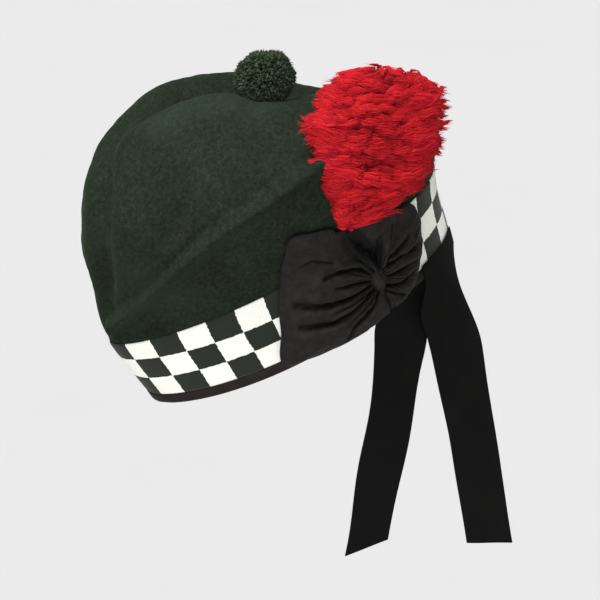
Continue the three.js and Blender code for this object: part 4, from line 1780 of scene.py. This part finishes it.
    def knot(self, material: bpy.types.Material) -> None:
        """Builds the wrapped turn of ribbon over the middle of the gathers.

        Args:
            material: Its finish.
        """
        sides, levels = 96, 26
        tt, rr = np.meshgrid(np.arange(sides) / sides * TURN, np.linspace(0, 1, levels))
        waist = self.knot_waist + (1 - self.knot_waist) * np.sin(math.pi * rr)
        shrink = np.sqrt(np.clip(1 - rr**self.knot_round, 0, 1)) * waist
        a = self.knot_half[0] * np.cos(tt) * shrink
        b = self.knot_half[1] * np.sin(tt) * shrink * (1 + self.knot_ends * np.sin(tt) ** 4)
        wraps = self.knot_wrap_depth * np.cos(a * TURN / self.knot_wrap + 0.5 * np.sin(b / 3))
        wraps = wraps * (1 - np.abs(b) / 12)
        offset = OVER_BAND + self.knot_puff * rr * (1 - self.knot_fall * (b / 8) ** 2) + wraps * rr
        points = self.lay(a, b, offset).reshape(-1, 3)
        foot = self.lay(np.zeros(1), np.zeros(1), np.array([OVER_BAND]))[0]
        points = np.concatenate([points, [foot, points[-sides:].mean(0)]])
        chart = np.concatenate([np.stack([a, b], -1).reshape(-1, 2), np.zeros((2, 2))])
        faces = closed_tube(levels, sides)
        piece = make_piece("ribbon_knot", to_frame(points), faces, chart=chart, weld=0.01)
        finish_piece(piece, material, "cockade_knot")


# ------------------------------------------------------------------------------ tails


@dataclass
class Tail:
    """A ribbon tail sewn to the rim and hanging free below it."""

    node: str
    angle: float
    offset: float
    top: float
    through: tuple[tuple[float, float, float], ...]
    facing: float
    slant: float
    flare: float
    seed: int
    width: float = 32.0
    thickness: float = 0.6
    across: int = 28
    rows: int = 130
    below: float = 2.5
    settled: float = 0.3
    cup: float = 1.1
    sway: float = 0.9

    def build(self, wall: Wall, material: bpy.types.Material) -> None:
        """Args:
            wall: The crown's surface, which its top is sewn to.
            material: Its finish.
        """
        shares = np.linspace(-0.5, 0.5, self.across + 1)
        angle = math.radians(self.angle)
        step = 0.02
        ends = to_frame(wall.on(np.array([angle - step, angle + step]), np.zeros(2), self.offset))
        rate = np.linalg.norm(ends[1] - ends[0]) / (2 * step)
        spread = angle + shares * self.width * (1 + self.flare) / rate
        heights = np.linspace(self.top, -self.below, 7)
        rim = [to_frame(wall.on(spread, np.full_like(spread, h), self.offset)) for h in heights]
        root = rim[-1]
        start = root[self.across // 2]
        line = curve_through(np.array([start, *self.through]), 40)
        run = run_along(line)
        facing = np.array([math.cos(math.radians(self.facing)), math.sin(math.radians(self.facing)), 0])
        normal = np.cross(facing, [0, 0, 1])
        ripple = Ripples(self.seed, 55)
        rows = rim[:]
        for share in np.arange(1, self.rows + 1) / self.rows:
            middle = np.array([np.interp(share * run[-1], run, line[:, k]) for k in range(3)])
            settle = 1 - float(smooth(np.array(share), 0, self.settled))
            reach = (shares * self.width * (1 + self.flare * (1 - share) ** 4))[:, None]
            row = middle + facing * reach + (root - (start + facing * reach)) * settle
            row[:, 2] -= self.slant * shares * share**4
            cup = self.cup * (1 - 4 * shares**2) * (0.4 + 0.6 * math.sin(3.2 * share + self.seed))
            sway = self.sway * ripple(row * [1, 1, 0.7])
            rows.append(row + normal * ((1 - settle) * (cup + sway))[:, None])
        sheet = np.array(rows)
        along = np.concatenate([[0], np.cumsum(np.linalg.norm(np.diff(sheet, axis=0), axis=-1).mean(1))])
        chart = np.stack(np.broadcast_arrays(shares[None] * self.width, along[:, None]), -1).reshape(-1, 2)
        name = self.node.replace("tail", "ribbon_tail")
        faces = grid_faces(len(sheet), self.across + 1)
        piece = make_piece(name, sheet.reshape(-1, 3), faces, chart=chart)
        apply_modifier(piece, "SOLIDIFY", thickness=self.thickness * MM, offset=0.0, use_even_offset=True)
        finish_piece(piece, material, self.node)


TAILS = (
    Tail(
        node="tail_left", angle=126, offset=-4.6, top=5,
        through=((56, 52, 15), (53, 50, -15), (51, 41, -77), (49, 29, -148)),
        facing=97, slant=-6, flare=0.5, seed=2,
    ),
    Tail(
        node="tail_right", angle=143, offset=3, top=9,
        through=((57, 77.5, 14), (56, 85.5, -13), (51, 94, -46), (46, 107, -100), (45, 117.5, -156)),
        facing=84, slant=3, flare=0.38, seed=5,
    ),
)  # fmt: skip


# ------------------------------------------------------------------------------ studio


@dataclass
class Studio:
    """A plain pale floor far below, soft light and the camera."""

    floor_drop: float = 0.9
    floor_half: float = 12.0
    toward: tuple[float, float, float] = (0.910, -0.349, 0.225)
    distance: float = 1.8
    lens: float = 168.75
    shift: tuple[float, float] = (0.005, 0.0167)
    floor_patch: float = 400.0
    floor_shades: tuple[str, str] = ("#a7a7a7", "#a9a9a9")
    paper: str = "#ebebeb"
    brightens: tuple[float, float] = (0.1, 0.9)
    horizon: float = 0.5
    zenith: float = 0.85

    def build(self) -> None:
        """Builds the floor, the lights, the world and the camera."""
        self.floor()
        self.world()
        self.lamp("key", "SUN", (0.29, -0.30, 0.90), 4.85, angle=math.radians(20))
        self.lamp("front", "SUN", (0.92, -0.38, 0.03), 1.9, angle=math.radians(40))
        card = {"spot_size": math.radians(34), "spot_blend": 0.6, "shadow_soft_size": 0.35}
        self.lamp("low", "SPOT", (1.05, -0.95, -0.5), 38.0, **card)
        self.camera()

    def floor(self) -> None:
        """Builds the floor as one wide sheet of pale paper."""
        half = self.floor_half / MM
        low = (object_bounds()[0][2] - self.floor_drop) / MM
        corners = np.array([[-half, -half, low], [half, -half, low], [half, half, low], [-half, half, low]])
        floor = make_piece("floor", corners, np.array([[0, 1, 2, 3]]))
        material = bpy.data.materials.new("matt_paper")
        material.use_nodes = True
        material.node_tree.nodes.clear()
        add = partial(add_node, material.node_tree)
        where = add("TexCoord", output="Object")
        inputs = {"Vector": where, "Scale": repeats(self.floor_patch), "Detail": 2.0, "Roughness": 0.6}
        shades = [linear(shade) for shade in self.floor_shades]
        colour = add("Mix", {0: add("TexNoise", inputs), 6: shades[0], 7: shades[1]}, 2, data_type="RGBA")
        shader = add("BsdfPrincipled", {"Base Color": colour, "Roughness": 0.95})
        add("OutputMaterial", {"Surface": shader})
        floor.data.materials.append(material)
        floor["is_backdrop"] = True

    def world(self) -> None:
        """Sets a pale surround that brightens from the horizon up, as under a wide soft box."""
        world = bpy.data.worlds.new("studio")
        world.use_nodes = True
        world.node_tree.nodes.clear()
        add = partial(add_node, world.node_tree)
        up = add("SeparateXYZ", (add("TexCoord", output="Generated"),), 2)
        rise = add("MapRange", (up, *self.brightens, self.horizon, self.zenith))
        shade = add("Background", {"Color": linear(self.paper), "Strength": rise})
        add("OutputWorld", {"Surface": shade})
        bpy.context.scene.world = world

    def lamp(
        self, name: str, kind: str, place: tuple[float, float, float], power: float, **softness: float
    ) -> None:
        """Adds one soft lamp, turned to the middle of the head opening.

        Args:
            name: The lamp's name.
            kind: A sun, whose place gives only its direction, or a spot.
            place: Where it is, in metres.
            power: Its strength, in the unit of its kind.
            softness: Its properties that set how soft and wide it is.
        """
        light = bpy.data.lights.new(name, kind)
        light.energy = power
        for key, value in softness.items():
            setattr(light, key, value)
        lamp = bpy.data.objects.new(name, light)
        lamp.location = place
        lamp.rotation_euler = (-Vector(place)).to_track_quat("-Z", "Y").to_euler()
        bpy.context.scene.collection.objects.link(lamp)

    def camera(self) -> None:
        """Sets the camera up, level, at its distance from the middle of the head opening."""
        data = bpy.data.cameras.new("camera")
        data.lens = self.lens
        data.shift_x, data.shift_y = self.shift
        camera = bpy.data.objects.new("camera", data)
        toward = Vector(self.toward).normalized()
        camera.location = toward * self.distance
        camera.rotation_euler = toward.to_track_quat("Z", "Y").to_euler()
        bpy.context.scene.collection.objects.link(camera)
        bpy.context.scene.camera = camera
        bpy.context.scene.view_settings.view_transform = "Standard"


def main() -> None:
    """Builds the studio and every sub-assembly, and reports them."""
    logging.basicConfig(level=logging.INFO, format="%(name)s: %(message)s")
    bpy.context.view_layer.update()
    wall = Wall(LOOPS, FOLDS, TUCK, Lean())
    Studio().build()
    Crown(wall).build()
    DicedBand(wall).build()
    Binding(wall).build()
    Toorie().build()
    Hackle().build()
    Cockade(wall).build()
    ribbon = RIBBON_FINISH.material()
    for tail in TAILS:
        tail.build(wall, ribbon)


if __name__ == "__main__":
    main()
